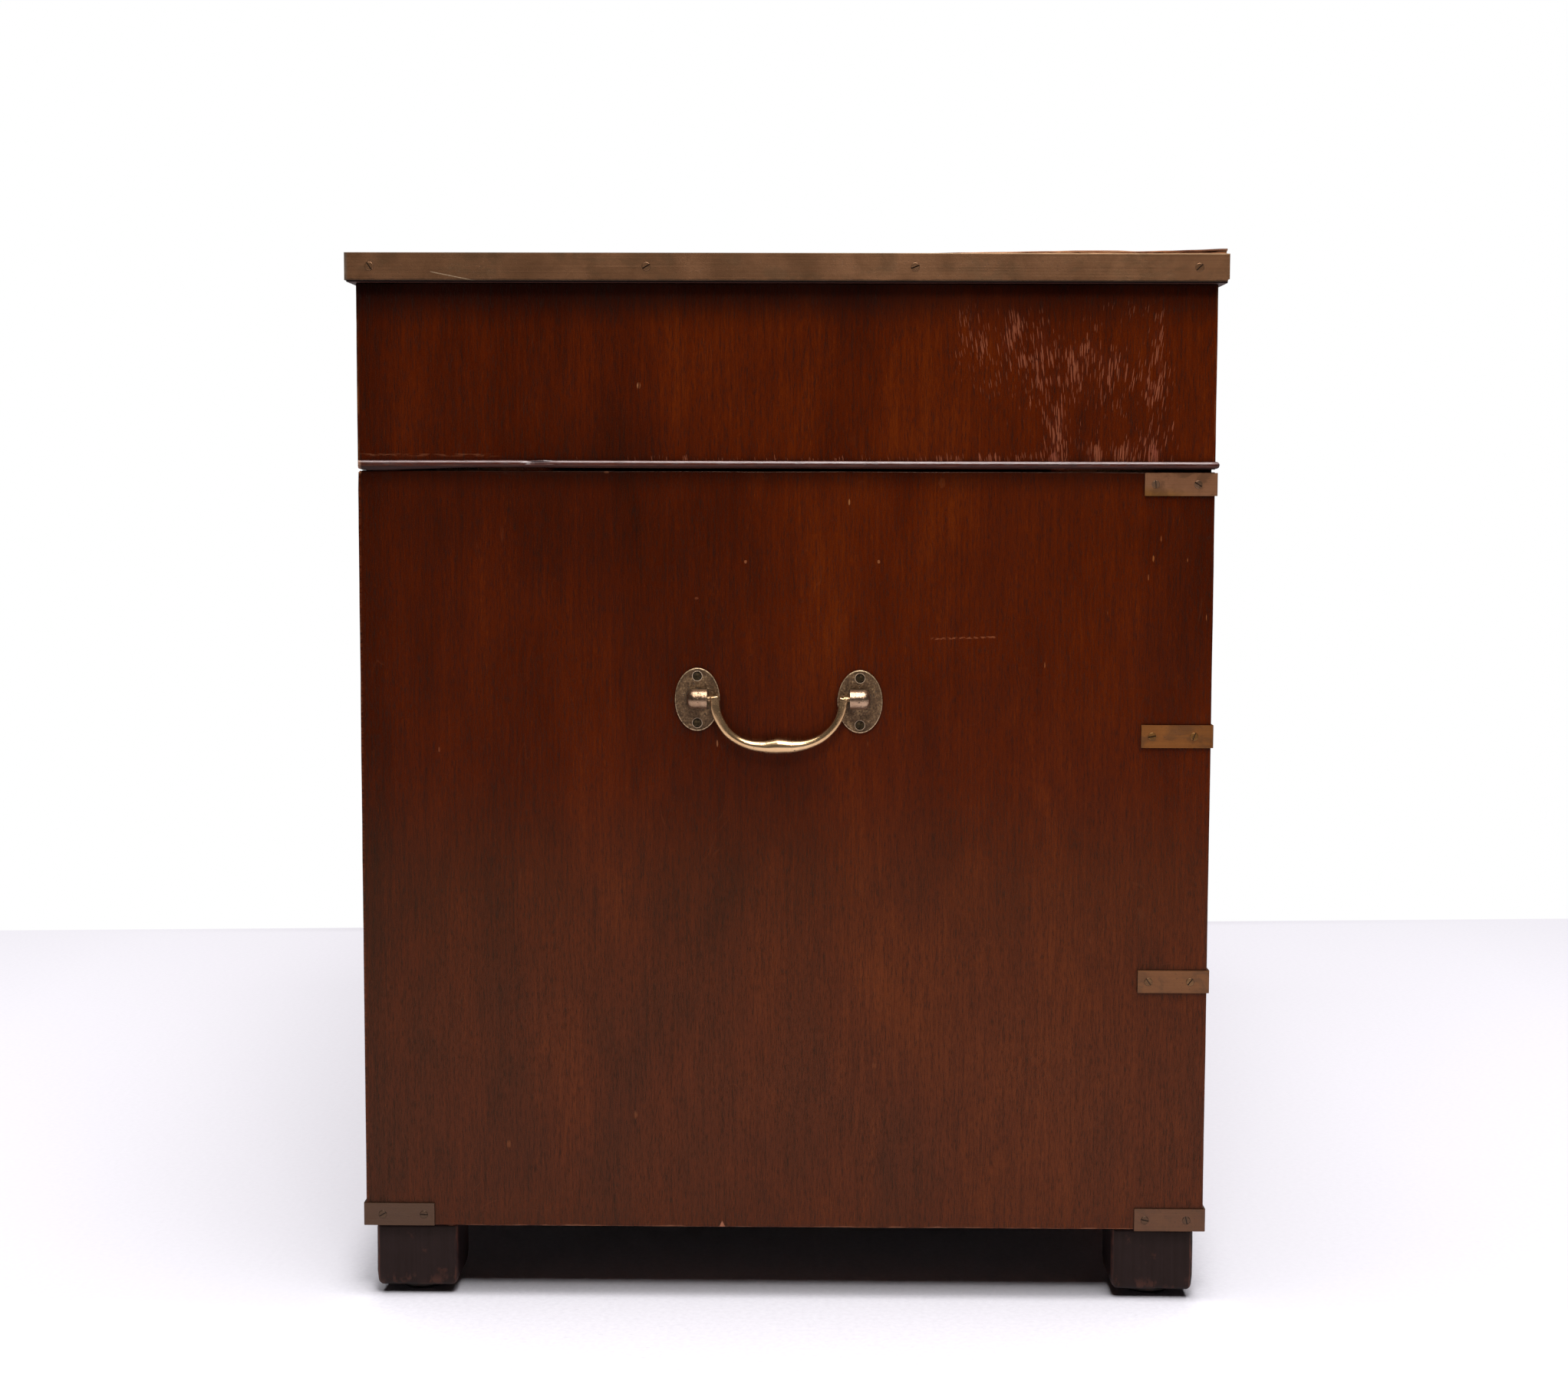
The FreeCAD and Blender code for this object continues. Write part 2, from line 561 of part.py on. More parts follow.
# ---------------------------------------------------------------- carry handles
def handle_plate(name, y, plate_z, toward):
    """Oval plate, knuckle and pivot hole. Local: case face at x = 0, outward -X."""
    body = doc.addObject("PartDesign::Body", name + "_oval")
    sk = sketch(body, name + "_outline", "YZ_Plane")
    c = Vector(0, 0, 0)
    g = sk.addGeometry(Part.Ellipse(Vector(0, V["oval_tall"] / 2, 0), Vector(V["oval_wide"] / 2, 0, 0), c), False)
    sk.exposeInternalGeometry(g)
    fix(sk, g, 3, "0", "0")
    major = minor = None
    for gi in range(1, sk.GeometryCount):
        gg = sk.Geometry[gi]
        if gg.TypeId == "Part::GeomLineSegment":
            ln = gg.StartPoint.sub(gg.EndPoint)
            if abs(ln.y) > abs(ln.x):
                major = gi
            else:
                minor = gi
    sk.addConstraint(Sketcher.Constraint("Vertical", major))
    k1 = sk.addConstraint(Sketcher.Constraint("Distance", major, V["oval_tall"]))
    bind(sk, "Constraints[%d]" % k1, "oval_tall")
    k2 = sk.addConstraint(Sketcher.Constraint("Distance", minor, V["oval_wide"]))
    bind(sk, "Constraints[%d]" % k2, "oval_wide")
    p = pad(body, name + "_sheet", sk, "oval_thick", back=True)
    doc.recompute()
    e = body.newObject("PartDesign::Fillet", name + "_rim")
    e.Base = (p, edges(p.Shape, lambda e: near(e.CenterOfMass.x, -V["oval_thick"])))
    e.Radius = 0.7
    doc.recompute()
    sk = sketch(body, name + "_seat", "YZ_Plane", "-oval_thick")
    for z in ("oval_screw", "-oval_screw"):
        circle(sk, "0", z, "3.55")
    pocket(body, name + "_counterbore", sk, "1.3", back=True)
    sk = sketch(body, name + "_hole", "YZ_Plane", "-oval_thick")
    for z in ("oval_screw", "-oval_screw"):
        circle(sk, "0", z, "1.6")
    pocket(body, name + "_through", sk, "oval_thick + 1", back=True)
    place(body, "0", y, plate_z)
    # hood: half round over the pin, straight down to the plate, its outer end rounded off
    hood = doc.addObject("PartDesign::Body", name + "_hood")
    sk = sketch(hood, name + "_hood_section", "XZ_Plane")
    out, r = V["handle_axis_out"], V["knuckle_r"]
    a = sk.addGeometry(Part.ArcOfCircle(Part.Circle(Vector(-out, 0, 0), Vector(0, 0, 1), r), math.pi / 2, 3 * math.pi / 2), False)
    b = sk.addGeometry(Part.LineSegment(Vector(-out, -r, 0), Vector(-1, -r, 0)), False)
    c = sk.addGeometry(Part.LineSegment(Vector(-1, -r, 0), Vector(-1, r, 0)), False)
    d = sk.addGeometry(Part.LineSegment(Vector(-1, r, 0), Vector(-out, r, 0)), False)
    for u, v in ((a, b), (b, c), (c, d), (d, a)):
        sk.addConstraint(Sketcher.Constraint("Coincident", u, 2, v, 1))
    fix(sk, a, 1, "-handle_axis_out", "knuckle_r")
    fix(sk, a, 2, "-handle_axis_out", "-knuckle_r")
    fix(sk, a, 3, "-handle_axis_out", None)
    fix(sk, c, 1, "-1", "-knuckle_r")
    fix(sk, c, 2, "-1", "knuckle_r")
    hp = pad(hood, name + "_hood_run", sk, "knuckle_long", back=toward > 0)
    doc.recompute()
    end_y = toward * V["knuckle_long"]
    he = hood.newObject("PartDesign::Fillet", name + "_hood_end")
    he.Base = (hp, edges(hp.Shape, lambda e: near(e.BoundBox.YMin, end_y) and near(e.BoundBox.YMax, end_y) and e.BoundBox.XMin < -1.5))
    he.Radius = 4.5
    doc.recompute()
    place(hood, "0", y + (" - knuckle_long / 2" if toward > 0 else " + knuckle_long / 2"), "handle_axis_z")
    whole = fuse(name + "_whole", [body, hood])
    hole_y = (y + " - knuckle_long / 2 - 1") if toward > 0 else (y + " - knuckle_long / 2 + 4.5")
    hole = rod(name + "_pivot_hole", "handle_hole", "knuckle_long - 3.5", "-handle_axis_out", hole_y, "handle_axis_z", (1, 0, 0), -90)
    return cut(name, whole, hole)


rear_y = "handle_mid_y + knuckle_in + knuckle_long / 2"
front_y = "handle_mid_y - knuckle_in - knuckle_long / 2"
plate_rear = handle_plate("handle_plate_rear", rear_y, "handle_axis_z - 0.6", 1)
plate_front = handle_plate("handle_plate_front", front_y, "handle_axis_z - 1.9", -1)
doc.recompute()
plates, oval_screws_at = [], []
for s, word in LEFT_RIGHT:
    # the right end's plates are the left end's turned half round the desk's middle, then slid back in line
    for p, y, z0 in ((plate_rear, val(rear_y), V["handle_axis_z"] - 0.6), (plate_front, val(front_y), V["handle_axis_z"] - 1.9)):
        shape = p.Shape.copy()
        if s < 0:
            shape.translate(Vector(-V["case_x"], 0, 0))
        else:
            shape = shape.mirror(Vector(0, 0, 0), Vector(1, 0, 0))
            shape.translate(Vector(V["case_x"], 0, 0))
        plates.append(shape)
        for j, dz in enumerate((V["oval_screw"], -V["oval_screw"])):
            oval_screws_at.append(screw_at(s * (V["case_x"] + V["oval_thick"]), y, z0 + dz, "-x" if s < 0 else "+x", TURN[(len(oval_screws_at) * 3 + 5) % 20]))
obj = doc.addObject("Part::Feature", "handle_plate_set")
obj.Shape = Part.makeCompound(plates)
node(obj, "carry_handle_plates")
node(copies("oval_screw_set", oval_screw, oval_screws_at), "carry_handle_screws")


def carry_bail(label, s):
    """Bail bent in one sweep between its cut-off arm ends, with pins let into the arms and a swelled grip.
    Local: pivot axis on Y."""
    body = doc.addObject("PartDesign::Body", label)
    arm, top_z, drop, r1, r2 = (V[k] for k in ("handle_arm", "handle_top", "handle_drop", "bend_base", "bend_side"))
    lean = math.asin((arm - r2) / (r1 - r2))
    zc = -drop + r1 - (r1 - r2) * math.cos(lean)
    xc = arm - r2
    path = sketch(body, label + "_path", "YZ_Plane")
    up = Vector(0, 0, 1)
    g = [path.addGeometry(Part.LineSegment(Vector(-arm, top_z, 0), Vector(-arm, zc, 0)), False),
         path.addGeometry(Part.ArcOfCircle(Part.Circle(Vector(-xc, zc, 0), up, r2), math.pi, 1.5 * math.pi - lean), False),
         path.addGeometry(Part.ArcOfCircle(Part.Circle(Vector(0, r1 - drop, 0), up, r1), 1.5 * math.pi - lean, 1.5 * math.pi + lean), False),
         path.addGeometry(Part.ArcOfCircle(Part.Circle(Vector(xc, zc, 0), up, r2), 1.5 * math.pi + lean, 2 * math.pi), False),
         path.addGeometry(Part.LineSegment(Vector(arm, zc, 0), Vector(arm, top_z, 0)), False)]
    for u, v in zip(g, g[1:]):
        path.addConstraint(Sketcher.Constraint("Tangent", u, 2, v, 1))
    fix(path, g[0], 1, "-handle_arm", "handle_top")
    fix(path, g[4], 2, "handle_arm", "handle_top")
    path.addConstraint(Sketcher.Constraint("Vertical", g[0]))
    path.addConstraint(Sketcher.Constraint("Vertical", g[4]))
    for geo, word_r in ((g[1], "bend_side"), (g[2], "bend_base"), (g[3], "bend_side")):
        c = path.addConstraint(Sketcher.Constraint("Radius", geo, V[word_r]))
        bind(path, "Constraints[%d]" % c, word_r)
    fix(path, g[2], 3, "0", "bend_base - handle_drop")
    ring = sketch(body, label + "_section", "XY_Plane", "handle_top")
    circle(ring, "0", "-handle_arm", "handle_rod")
    doc.recompute()
    pipe = body.newObject("PartDesign::AdditivePipe", label + "_rod")
    pipe.Profile = ring
    pipe.Spine = (path, ["Edge%d" % (i + 1) for i in range(5)])
    doc.recompute()
    for k, back in (("handle_arm", False), ("-handle_arm", True)):
        sk = sketch(body, label + ("_pin_rear" if back else "_pin_front"), "XZ_Plane", k)
        circle(sk, "0", "0", "handle_pin_r")
        pad(body, label + ("_pin_b" if back else "_pin_a"), sk, "handle_pin - handle_arm", back=back)
        doc.recompute()
    half = sketch(body, label + "_swell", "YZ_Plane")
    half.AttachmentOffset = Placement(Vector(0, -V["grip_low"], 0), Rotation())
    bind(half, ".AttachmentOffset.Base.y", "-grip_low")
    prof = [("-19", "handle_rod - 0.6"), ("-14", "handle_rod + 0.3"), ("-9", "handle_rod + 1.0"), ("-3.5", "grip_r"), ("3.5", "grip_r"), ("9", "handle_rod + 1.0"),
            ("14", "handle_rod + 0.3"), ("19", "handle_rod - 0.6")]
    outline(half, [("-19", "0")] + prof + [("19", "0")])
    turned = body.newObject("PartDesign::Revolution", label + "_grip")
    turned.Profile = half
    turned.ReferenceAxis = (half, ["H_Axis"])
    turned.Angle = 360
    doc.recompute()
    place(body, "%d * (case_x + handle_axis_out)" % s, "handle_mid_y", "handle_axis_z")
    return node(body, label)


for s, word in LEFT_RIGHT:
    carry_bail("carry_handle_bail_" + word, s)

# ---------------------------------------------------------------- top section
ends = [block("frieze_end_" + w, side(s, ped_out, "case_x"), ("-case_y", "case_y"), ("end_low", "case_high")) for s, w in LEFT_RIGHT]
group("frieze_ends", ends)
node(block("frieze_back", ("-(%s)" % ped_out, ped_out), ("case_y - frieze_back_thick", "case_y"), ("end_low", "case_high")), "frieze_back")
fr = []
low = ("ped_high", "row_f_low - slack")
for name, y, z in (("front_low", ("-case_y", "rail_deep - case_y"), low),
                   ("back_low", ("case_y - frieze_back_thick - rail_deep", "case_y - frieze_back_thick"), low),
                   ("front_high", ("-case_y", "rail_deep - case_y"), ("row_f_high + slack", "case_high"))):
    b = block("frieze_rail_" + name, ("-(%s)" % ped_out, ped_out), y, z)
    if name != "front_high":
        spots = [q for q in dowel_spots if ("rail_deep / 2 - case_y" == q[1]) == (name == "front_low")]
        drills = [rod("frieze_rail_%s_drill_%d" % (name, i), "dowel_hole", "14", q[0], q[1], "ped_high - 1") for i, q in enumerate(spots)]
        both = doc.addObject("Part::Compound", "frieze_rail_%s_drills" % name)
        both.Links = drills
        b = cut("frieze_rail_%s_bored" % name, b, both)
    fr.append(b)
group("frieze_rails", fr)
inside = []
for s, w in LEFT_RIGHT:
    inside.append(block("frieze_divider_" + w, side(s, "knee_x", ped_in), ("-case_y", "case_y - frieze_back_thick"), ("row_f_low - slack", "row_f_high + slack")))
    span = ("rail_deep - case_y", "case_y - frieze_back_thick - rail_deep")
    zr = ("row_f_low - slack - 17", "row_f_low - slack")
    inside.append(block("frieze_runner_end_" + w, side(s, ped_out + " - 28", ped_out), span, zr))
    inside.append(block("frieze_runner_mid_" + w, side(s, "knee_x - 28", ped_in + " + 28"), span, zr))
group("frieze_dividers_and_runners", inside)

# Half-round bead round the ends and front, with square mitres.
bead = doc.addObject("PartDesign::Body", "bead_moulding")
line = sketch(bead, "bead_line", "XY_Plane")
g0 = line.addGeometry(Part.LineSegment(Vector(-600, 299, 0), Vector(-600, -299, 0)), False)
g1 = line.addGeometry(Part.LineSegment(Vector(-600, -299, 0), Vector(600, -299, 0)), False)
g2 = line.addGeometry(Part.LineSegment(Vector(600, -299, 0), Vector(600, 299, 0)), False)
line.addConstraint(Sketcher.Constraint("Coincident", g0, 2, g1, 1))
line.addConstraint(Sketcher.Constraint("Coincident", g1, 2, g2, 1))
fix(line, g0, 1, "-case_x", "case_y")
fix(line, g1, 1, "-case_x", "-case_y")
fix(line, g1, 2, "case_x", "-case_y")
fix(line, g2, 2, "case_x", "case_y")
sec = sketch(bead, "bead_section", "XZ_Plane", "-case_y")
r = V["bead_tall"] / 2
flat = V["bead_out"] - r
a0 = sec.addGeometry(Part.LineSegment(Vector(-600, 0, 0), Vector(-600 - flat, 0, 0)), False)
a1 = sec.addGeometry(Part.ArcOfCircle(Part.Circle(Vector(-600 - flat, r, 0), Vector(0, 0, 1), r), math.pi / 2, 3 * math.pi / 2), False)
a2 = sec.addGeometry(Part.LineSegment(Vector(-600 - flat, 2 * r, 0), Vector(-600, 2 * r, 0)), False)
a3 = sec.addGeometry(Part.LineSegment(Vector(-600, 2 * r, 0), Vector(-600, 0, 0)), False)
lo, hi = 2, 1
flat_x = "-case_x - bead_out + bead_tall / 2"
sec.addConstraint(Sketcher.Constraint("Coincident", a0, 2, a1, lo))
sec.addConstraint(Sketcher.Constraint("Coincident", a1, hi, a2, 1))
sec.addConstraint(Sketcher.Constraint("Coincident", a2, 2, a3, 1))
sec.addConstraint(Sketcher.Constraint("Coincident", a3, 2, a0, 1))
fix(sec, a0, 1, "-case_x", "0")
fix(sec, a0, 2, flat_x, "0")
fix(sec, a2, 1, flat_x, "bead_tall")
fix(sec, a3, 1, "-case_x", "bead_tall")
fix(sec, a1, 3, flat_x, None)
doc.recompute()
bp = bead.newObject("PartDesign::AdditivePipe", "bead_run")
bp.Profile = sec
bp.Spine = (line, ["Edge1", "Edge2", "Edge3"])
bp.Transition = "Right corner"
doc.recompute()
place(bead, "0", "0", "bead_low")
node(bead, "bead_moulding")

# Top board with a shallow recess for the leather.
top = doc.addObject("PartDesign::Body", "top_board")
sk = sketch(top, "top_plan", "XY_Plane")
rectangle(sk, "band_x - band_thick", "band_y - band_thick")
tp = pad(top, "top_blank", sk, "top_high - case_high")
sk = sketch(top, "top_recess_plan", "XY_Plane", "top_high - case_high")
rectangle(sk, "band_x - leather_border", "band_y - leather_border")
doc.recompute()
pocket(top, "top_recess", sk, "leather_thick")
place(top, "0", "0", "case_high")
node(top, "top_board")

skin = doc.addObject("PartDesign::Body", "leather_inset")
sk = sketch(skin, "leather_plan", "XY_Plane")
rectangle(sk, "band_x - leather_border", "band_y - leather_border")
pad(skin, "leather_sheet", sk, "leather_thick")
place(skin, "0", "0", "top_high - leather_thick")
node(skin, "leather_inset")

# Brass band: end strips run to the back, the front strip laps their ends, the back strip fits between.
tall = ("band_low", "top_high")
strips = {
    "left": block("band_left", ("-band_x", "band_thick - band_x"), ("band_thick - band_y", "band_y"), tall),
    "right": block("band_right", ("band_x - band_thick", "band_x"), ("band_thick - band_y", "band_y"), tall),
    "front": block("band_front", ("-band_x", "band_x"), ("-band_y", "band_thick - band_y"), ("band_front_low", "top_high")),
    "back": block("band_back", ("band_thick - band_x", "band_x - band_thick"), ("band_y - band_thick", "band_y"), tall),
}
SCREW_Z = 731.6
END_Y = [287.7, 96.4, -89.0, -284.3]
LONG_X = [-590.0, -393.0, -197.0, 0.0, 197.0, 393.0, 590.0]
band_screws_at, pierced = [], []
for word, strip in strips.items():
    drills = []
    spots = [(0, q) for q in END_Y] if word in ("left", "right") else [(q, 0) for q in LONG_X]
    out = {"left": "-x", "right": "+x", "front": "-y", "back": "+y"}[word]
    for i, (x, y) in enumerate(spots):
        if word in ("left", "right"):
            sx = -V["band_x"] if word == "left" else V["band_x"]
            band_screws_at.append(screw_at(sx, y, SCREW_Z, out, TURN[(len(band_screws_at) * 5 + 3) % 20]))
            drills.append(rod("band_%s_drill_%d" % (word, i), "3.05", "8", "%g" % (sx - 4), "%g" % y, "%g" % SCREW_Z, (0, 1, 0), 90))
        else:
            sy = -V["band_y"] if word == "front" else V["band_y"]
            band_screws_at.append(screw_at(x, sy, SCREW_Z, out, TURN[(len(band_screws_at) * 5 + 3) % 20]))
            drills.append(rod("band_%s_drill_%d" % (word, i), "3.05", "8", "%g" % x, "%g" % (sy - 4), "%g" % SCREW_Z, (1, 0, 0), -90))
    tool = doc.addObject("Part::Compound", "band_%s_drills" % word)
    tool.Links = drills
    pierced.append(cut("band_%s_pierced" % word, strip, tool))
group("edge_band", pierced)
node(copies("band_screw_set", band_screw, band_screws_at), "edge_band_screws")

# ---------------------------------------------------------------- drawers
# Each drawer: a cock-beaded front with a let-in pull, a box behind it, the pull plate and the bail.
frieze_half = "(case_x - knee_x) / 2 - board - side_gap"
ped_mid = "(case_x + knee_x) / 2"
DRAWERS = [
    ("frieze_left", "-" + ped_mid, frieze_half, "row_f_low", "row_f_high", "nose_upper"),
    ("frieze_middle", "0", "knee_x - side_gap", "row_f_low", "row_f_high", "nose_upper"),
    ("frieze_right", ped_mid, frieze_half, "row_f_low", "row_f_high", "nose_upper"),
    ("left_top", "-" + ped_mid, frieze_half, "row_a_low", "row_a_high", "nose_upper"),
    ("left_middle", "-" + ped_mid, frieze_half, "row_b_low", "row_b_high", "nose_upper"),
    ("left_bottom", "-" + ped_mid, frieze_half, "row_c_low", "row_c_high", "nose_lower"),
    ("right_top", ped_mid, frieze_half, "row_a_low", "row_a_high", "nose_upper"),
    ("right_middle", ped_mid, frieze_half, "row_b_low", "row_b_high", "nose_upper"),
    ("right_bottom", ped_mid, frieze_half, "row_c_low", "row_c_high", "nose_lower"),
]


def on_rim(e, hx, hz, y):
    b = e.BoundBox
    if not (near(b.YMin, y) and near(b.YMax, y)):
        return False
    flat_x = near(b.XMin, b.XMax) and near(abs(b.XMin), hx)
    flat_z = near(b.ZMin, b.ZMax) and near(abs(b.ZMin), hz)
    return flat_x or flat_z


for name, mid, half, zlow, zhigh, nose in DRAWERS:
    half_z = "(%s - %s) / 2" % (zhigh, zlow)
    mid_z = "(%s + %s) / 2" % (zhigh, zlow)
    # front: local y = 0 at the bead's nose, wood behind it along +Y
    body = doc.addObject("PartDesign::Body", "drawer_%s_front" % name)
    sk = sketch(body, name + "_face", "XZ_Plane")
    rectangle(sk, half, half_z)
    p = pad(body, name + "_slab", sk, "front_thick", back=True)
    doc.recompute()
    sk = sketch(body, name + "_field", "XZ_Plane")
    rectangle(sk, "%s - cock_wide" % half, "%s - cock_wide" % half_z)
    q = pocket(body, name + "_sunk_field", sk, "cock_out")
    hx, hz = val(half), val(half_z)
    rim = edges(q.Shape, lambda e: on_rim(e, hx, hz, 0.0) or on_rim(e, hx - V["cock_wide"], hz - V["cock_wide"], 0.0))
    if len(rim) != 8:
        raise RuntimeError("%s: %d bead edges" % (name, len(rim)))
    f = body.newObject("PartDesign::Fillet", name + "_bead_round")
    f.Base = (q, rim)
    bind(f, "Radius", "cock_round")
    doc.recompute()
    sk = sketch(body, name + "_plate_let_in", "XZ_Plane")
    rectangle(sk, "plate_wide / 2", "plate_tall / 2")
    pocket(body, name + "_plate_mortise", sk, "cock_out + plate_thick")
    sk = sketch(body, name + "_pan_let_in", "XZ_Plane")
    rectangle(sk, "pan_wide / 2", "pan_tall / 2")
    pocket(body, name + "_pan_mortise", sk, "cock_out + pan_deep")
    place(body, mid, "-" + nose, mid_z)
    node(body, "drawer_%s_front" % name)

    # box: two sides, a back standing on the bottom, a bottom let in between the sides
    y0, y1 = "front_thick - " + nose, "front_thick - " + nose + " + box_deep"
    half_out = "(%s) - 1" % half
    half_in = "(%s) - 1 - lining" % half
    parts = []
    for s, w in LEFT_RIGHT:
        xs = ("(%s) + (%s)" % (mid, half_in), "(%s) + (%s)" % (mid, half_out)) if s > 0 else ("(%s) - (%s)" % (mid, half_out), "(%s) - (%s)" % (mid, half_in))
        parts.append(block("%s_side_%s" % (name, w), xs, (y0, y1), (zlow, zhigh + " - 6")))
    xs = ("(%s) - (%s)" % (mid, half_in), "(%s) + (%s)" % (mid, half_in))
    parts.append(block(name + "_bottom", xs, (y0, y1), (zlow + " + 7", zlow + " + 7 + lining_base")))
    parts.append(block(name + "_back", xs, (y1 + " - lining", y1), (zlow + " + 7 + lining_base", zhigh + " - 12")))
    group("drawer_%s_box" % name, parts)

    # pull plate: local y = 0 at the plate's face
    face_y = "cock_out - " + nose
    plate = doc.addObject("PartDesign::Body", name + "_pull_pan")
    sk = sketch(plate, name + "_pull_face", "XZ_Plane")
    rectangle(sk, "plate_wide / 2", "plate_tall / 2")
    p = pad(plate, name + "_pull_sheet", sk, "plate_thick", back=True)
    sk = sketch(plate, name + "_pull_well", "XZ_Plane")
    rectangle(sk, "pan_wide / 2", "pan_tall / 2")
    p2 = pad(plate, name + "_pull_box", sk, "pan_deep", back=True)
    doc.recompute()
    sk = sketch(plate, name + "_pull_mouth", "XZ_Plane")
    rectangle(sk, "pan_in_wide / 2", "pan_in_tall / 2")
    p3 = pocket(plate, name + "_pull_hollow", sk, "pan_in_deep")
    sk = sketch(plate, name + "_pull_screws", "XZ_Plane")
    circle(sk, "pull_screw_x", "0", "2.25")
    circle(sk, "-pull_screw_x", "0", "2.25")
    p4 = pocket(plate, name + "_pull_drill", sk, "plate_thick")
    sk = sketch(plate, name + "_pull_pivots", "YZ_Plane")
    circle(sk, "pull_axis_y", "pull_axis_z", "pull_hole")
    p5 = plate.newObject("PartDesign::Pocket", name + "_pull_pivot_holes")
    p5.Profile = sk
    p5.Midplane = True
    bind(p5, "Length", "pan_wide - 0.6")
    doc.recompute()
    if not p5.Shape.Volume < p4.Shape.Volume - 1:
        raise RuntimeError(name + " pivot holes cut nothing")
    ch = plate.newObject("PartDesign::Chamfer", name + "_pull_edge")
    ch.Base = (p5, edges(p5.Shape, lambda e: near(e.BoundBox.YMax, 0.0) and not isinstance(e.Curve, Part.Circle)
                         and (near(abs(e.CenterOfMass.x), V["pan_in_wide"] / 2) or near(abs(e.CenterOfMass.z), V["pan_in_tall"] / 2))))
    ch.Size = 0.4
    doc.recompute()
    place(plate, mid, face_y, mid_z)
    doc.recompute()
    cx, cy, cz = val(mid), val(face_y), val(mid_z)
    screws = copies(name + "_pull_screw_pair", pull_screw,
                    [screw_at(cx + d * V["pull_screw_x"], cy, cz, "-y", TURN[(len(NODES) * 3 + j) % 20]) for j, d in enumerate((-1, 1))])
    group("drawer_%s_pull_plate" % name, [plate, screws])

    # bail: local origin on the pivot axis
    bail = doc.addObject("PartDesign::Body", "drawer_%s_pull_bail" % name)
    path = sketch(bail, name + "_bail_path", "XZ_Plane")
    bent_path(path, [("-pull_pin", "0"), ("-pull_arm", "0"), ("-pull_arm", "-pull_drop"), ("pull_arm", "-pull_drop"), ("pull_arm", "0"), ("pull_pin", "0")],
              ["3", "6.5", "6.5", "3"])
    ring = sketch(bail, name + "_bail_section", "YZ_Plane", "-pull_pin")
    circle(ring, "0", "0", "pull_rod")
    doc.recompute()
    pipe = bail.newObject("PartDesign::AdditivePipe", name + "_bail_rod")
    pipe.Profile = ring
    pipe.Spine = (path, ["Edge%d" % (i + 1) for i in range(9)])
    doc.recompute()
    place(bail, mid, face_y + " + pull_axis_y", mid_z + " + pull_axis_z")
    node(bail, "drawer_%s_pull_bail" % name)

doc.recompute()

# ---------------------------------------------------------------- checks and export
for obj in doc.Objects:
    state = [str(q) for q in obj.State]
    if any("Invalid" in q or "Error" in q for q in state):
        raise RuntimeError("%s: %s" % (obj.Label, state))
labels = [n.Label for n in NODES]
if len(set(labels)) != len(labels):
    raise RuntimeError("two sub-parts share a label")
if len(labels) > 60:
    raise RuntimeError("%d sub-parts" % len(labels))
for n in NODES:
    if n.Shape.isNull() or not n.Shape.isValid():
        raise RuntimeError("%s has no valid shape" % n.Label)
    if not n.Shape.Solids:
        raise RuntimeError("%s has no solid" % n.Label)
for n in NODES:
    b = n.Shape.BoundBox
    n.Shape.exportStep("parts/%s.step" % n.Label)
    print("%-34s %3d solids  x %8.2f %8.2f  y %8.2f %8.2f  z %8.2f %8.2f" % (n.Label, len(n.Shape.Solids), b.XMin, b.XMax, b.YMin, b.YMax, b.ZMin, b.ZMax))
print(len(NODES), "sub-parts")
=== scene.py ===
import bpy, bmesh, math, random
from mathutils import Vector, Matrix, noise as mnoise


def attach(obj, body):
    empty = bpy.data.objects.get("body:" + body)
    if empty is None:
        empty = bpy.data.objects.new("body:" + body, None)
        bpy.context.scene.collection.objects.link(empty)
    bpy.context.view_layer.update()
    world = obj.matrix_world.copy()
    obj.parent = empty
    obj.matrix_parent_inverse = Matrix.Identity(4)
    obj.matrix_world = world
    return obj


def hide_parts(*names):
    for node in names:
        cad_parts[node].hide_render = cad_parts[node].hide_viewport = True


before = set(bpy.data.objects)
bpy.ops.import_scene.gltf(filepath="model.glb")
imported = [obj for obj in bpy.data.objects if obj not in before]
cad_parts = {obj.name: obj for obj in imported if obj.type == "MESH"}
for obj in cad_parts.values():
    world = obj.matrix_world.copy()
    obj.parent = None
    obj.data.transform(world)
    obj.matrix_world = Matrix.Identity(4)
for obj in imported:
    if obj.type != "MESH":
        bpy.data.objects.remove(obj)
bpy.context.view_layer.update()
MM = 0.001
scene = bpy.context.scene


# ---------------------------------------------------------------- camera, floor and lights
def make_camera():
    yaw, pitch, roll = (math.radians(a) for a in (-0.7369, 4.8755, 0.1483))
    fw = Vector((math.cos(yaw), -math.sin(yaw), 0))
    rt = Vector((-math.sin(yaw), -math.cos(yaw), 0))
    up = Vector((0, 0, 1))
    look = fw * math.cos(pitch) - up * math.sin(pitch)
    up2 = up * math.cos(pitch) + fw * math.sin(pitch)
    right = rt * math.cos(roll) + up2 * math.sin(roll)
    top = up2 * math.cos(roll) - rt * math.sin(roll)
    data = bpy.data.cameras.new("camera")
    data.sensor_fit = "HORIZONTAL"
    data.sensor_width = 36.0
    data.lens = 3272.46 * 36.0 / 2044.0
    data.clip_start, data.clip_end = 0.05, 100
    cam = bpy.data.objects.new("camera", data)
    scene.collection.objects.link(cam)
    m = Matrix((right, top, -look)).transposed().to_4x4()
    m.translation = Vector((-2.35645, -0.02184, 0.58676))
    cam.matrix_world = m
    scene.camera = cam


make_camera()


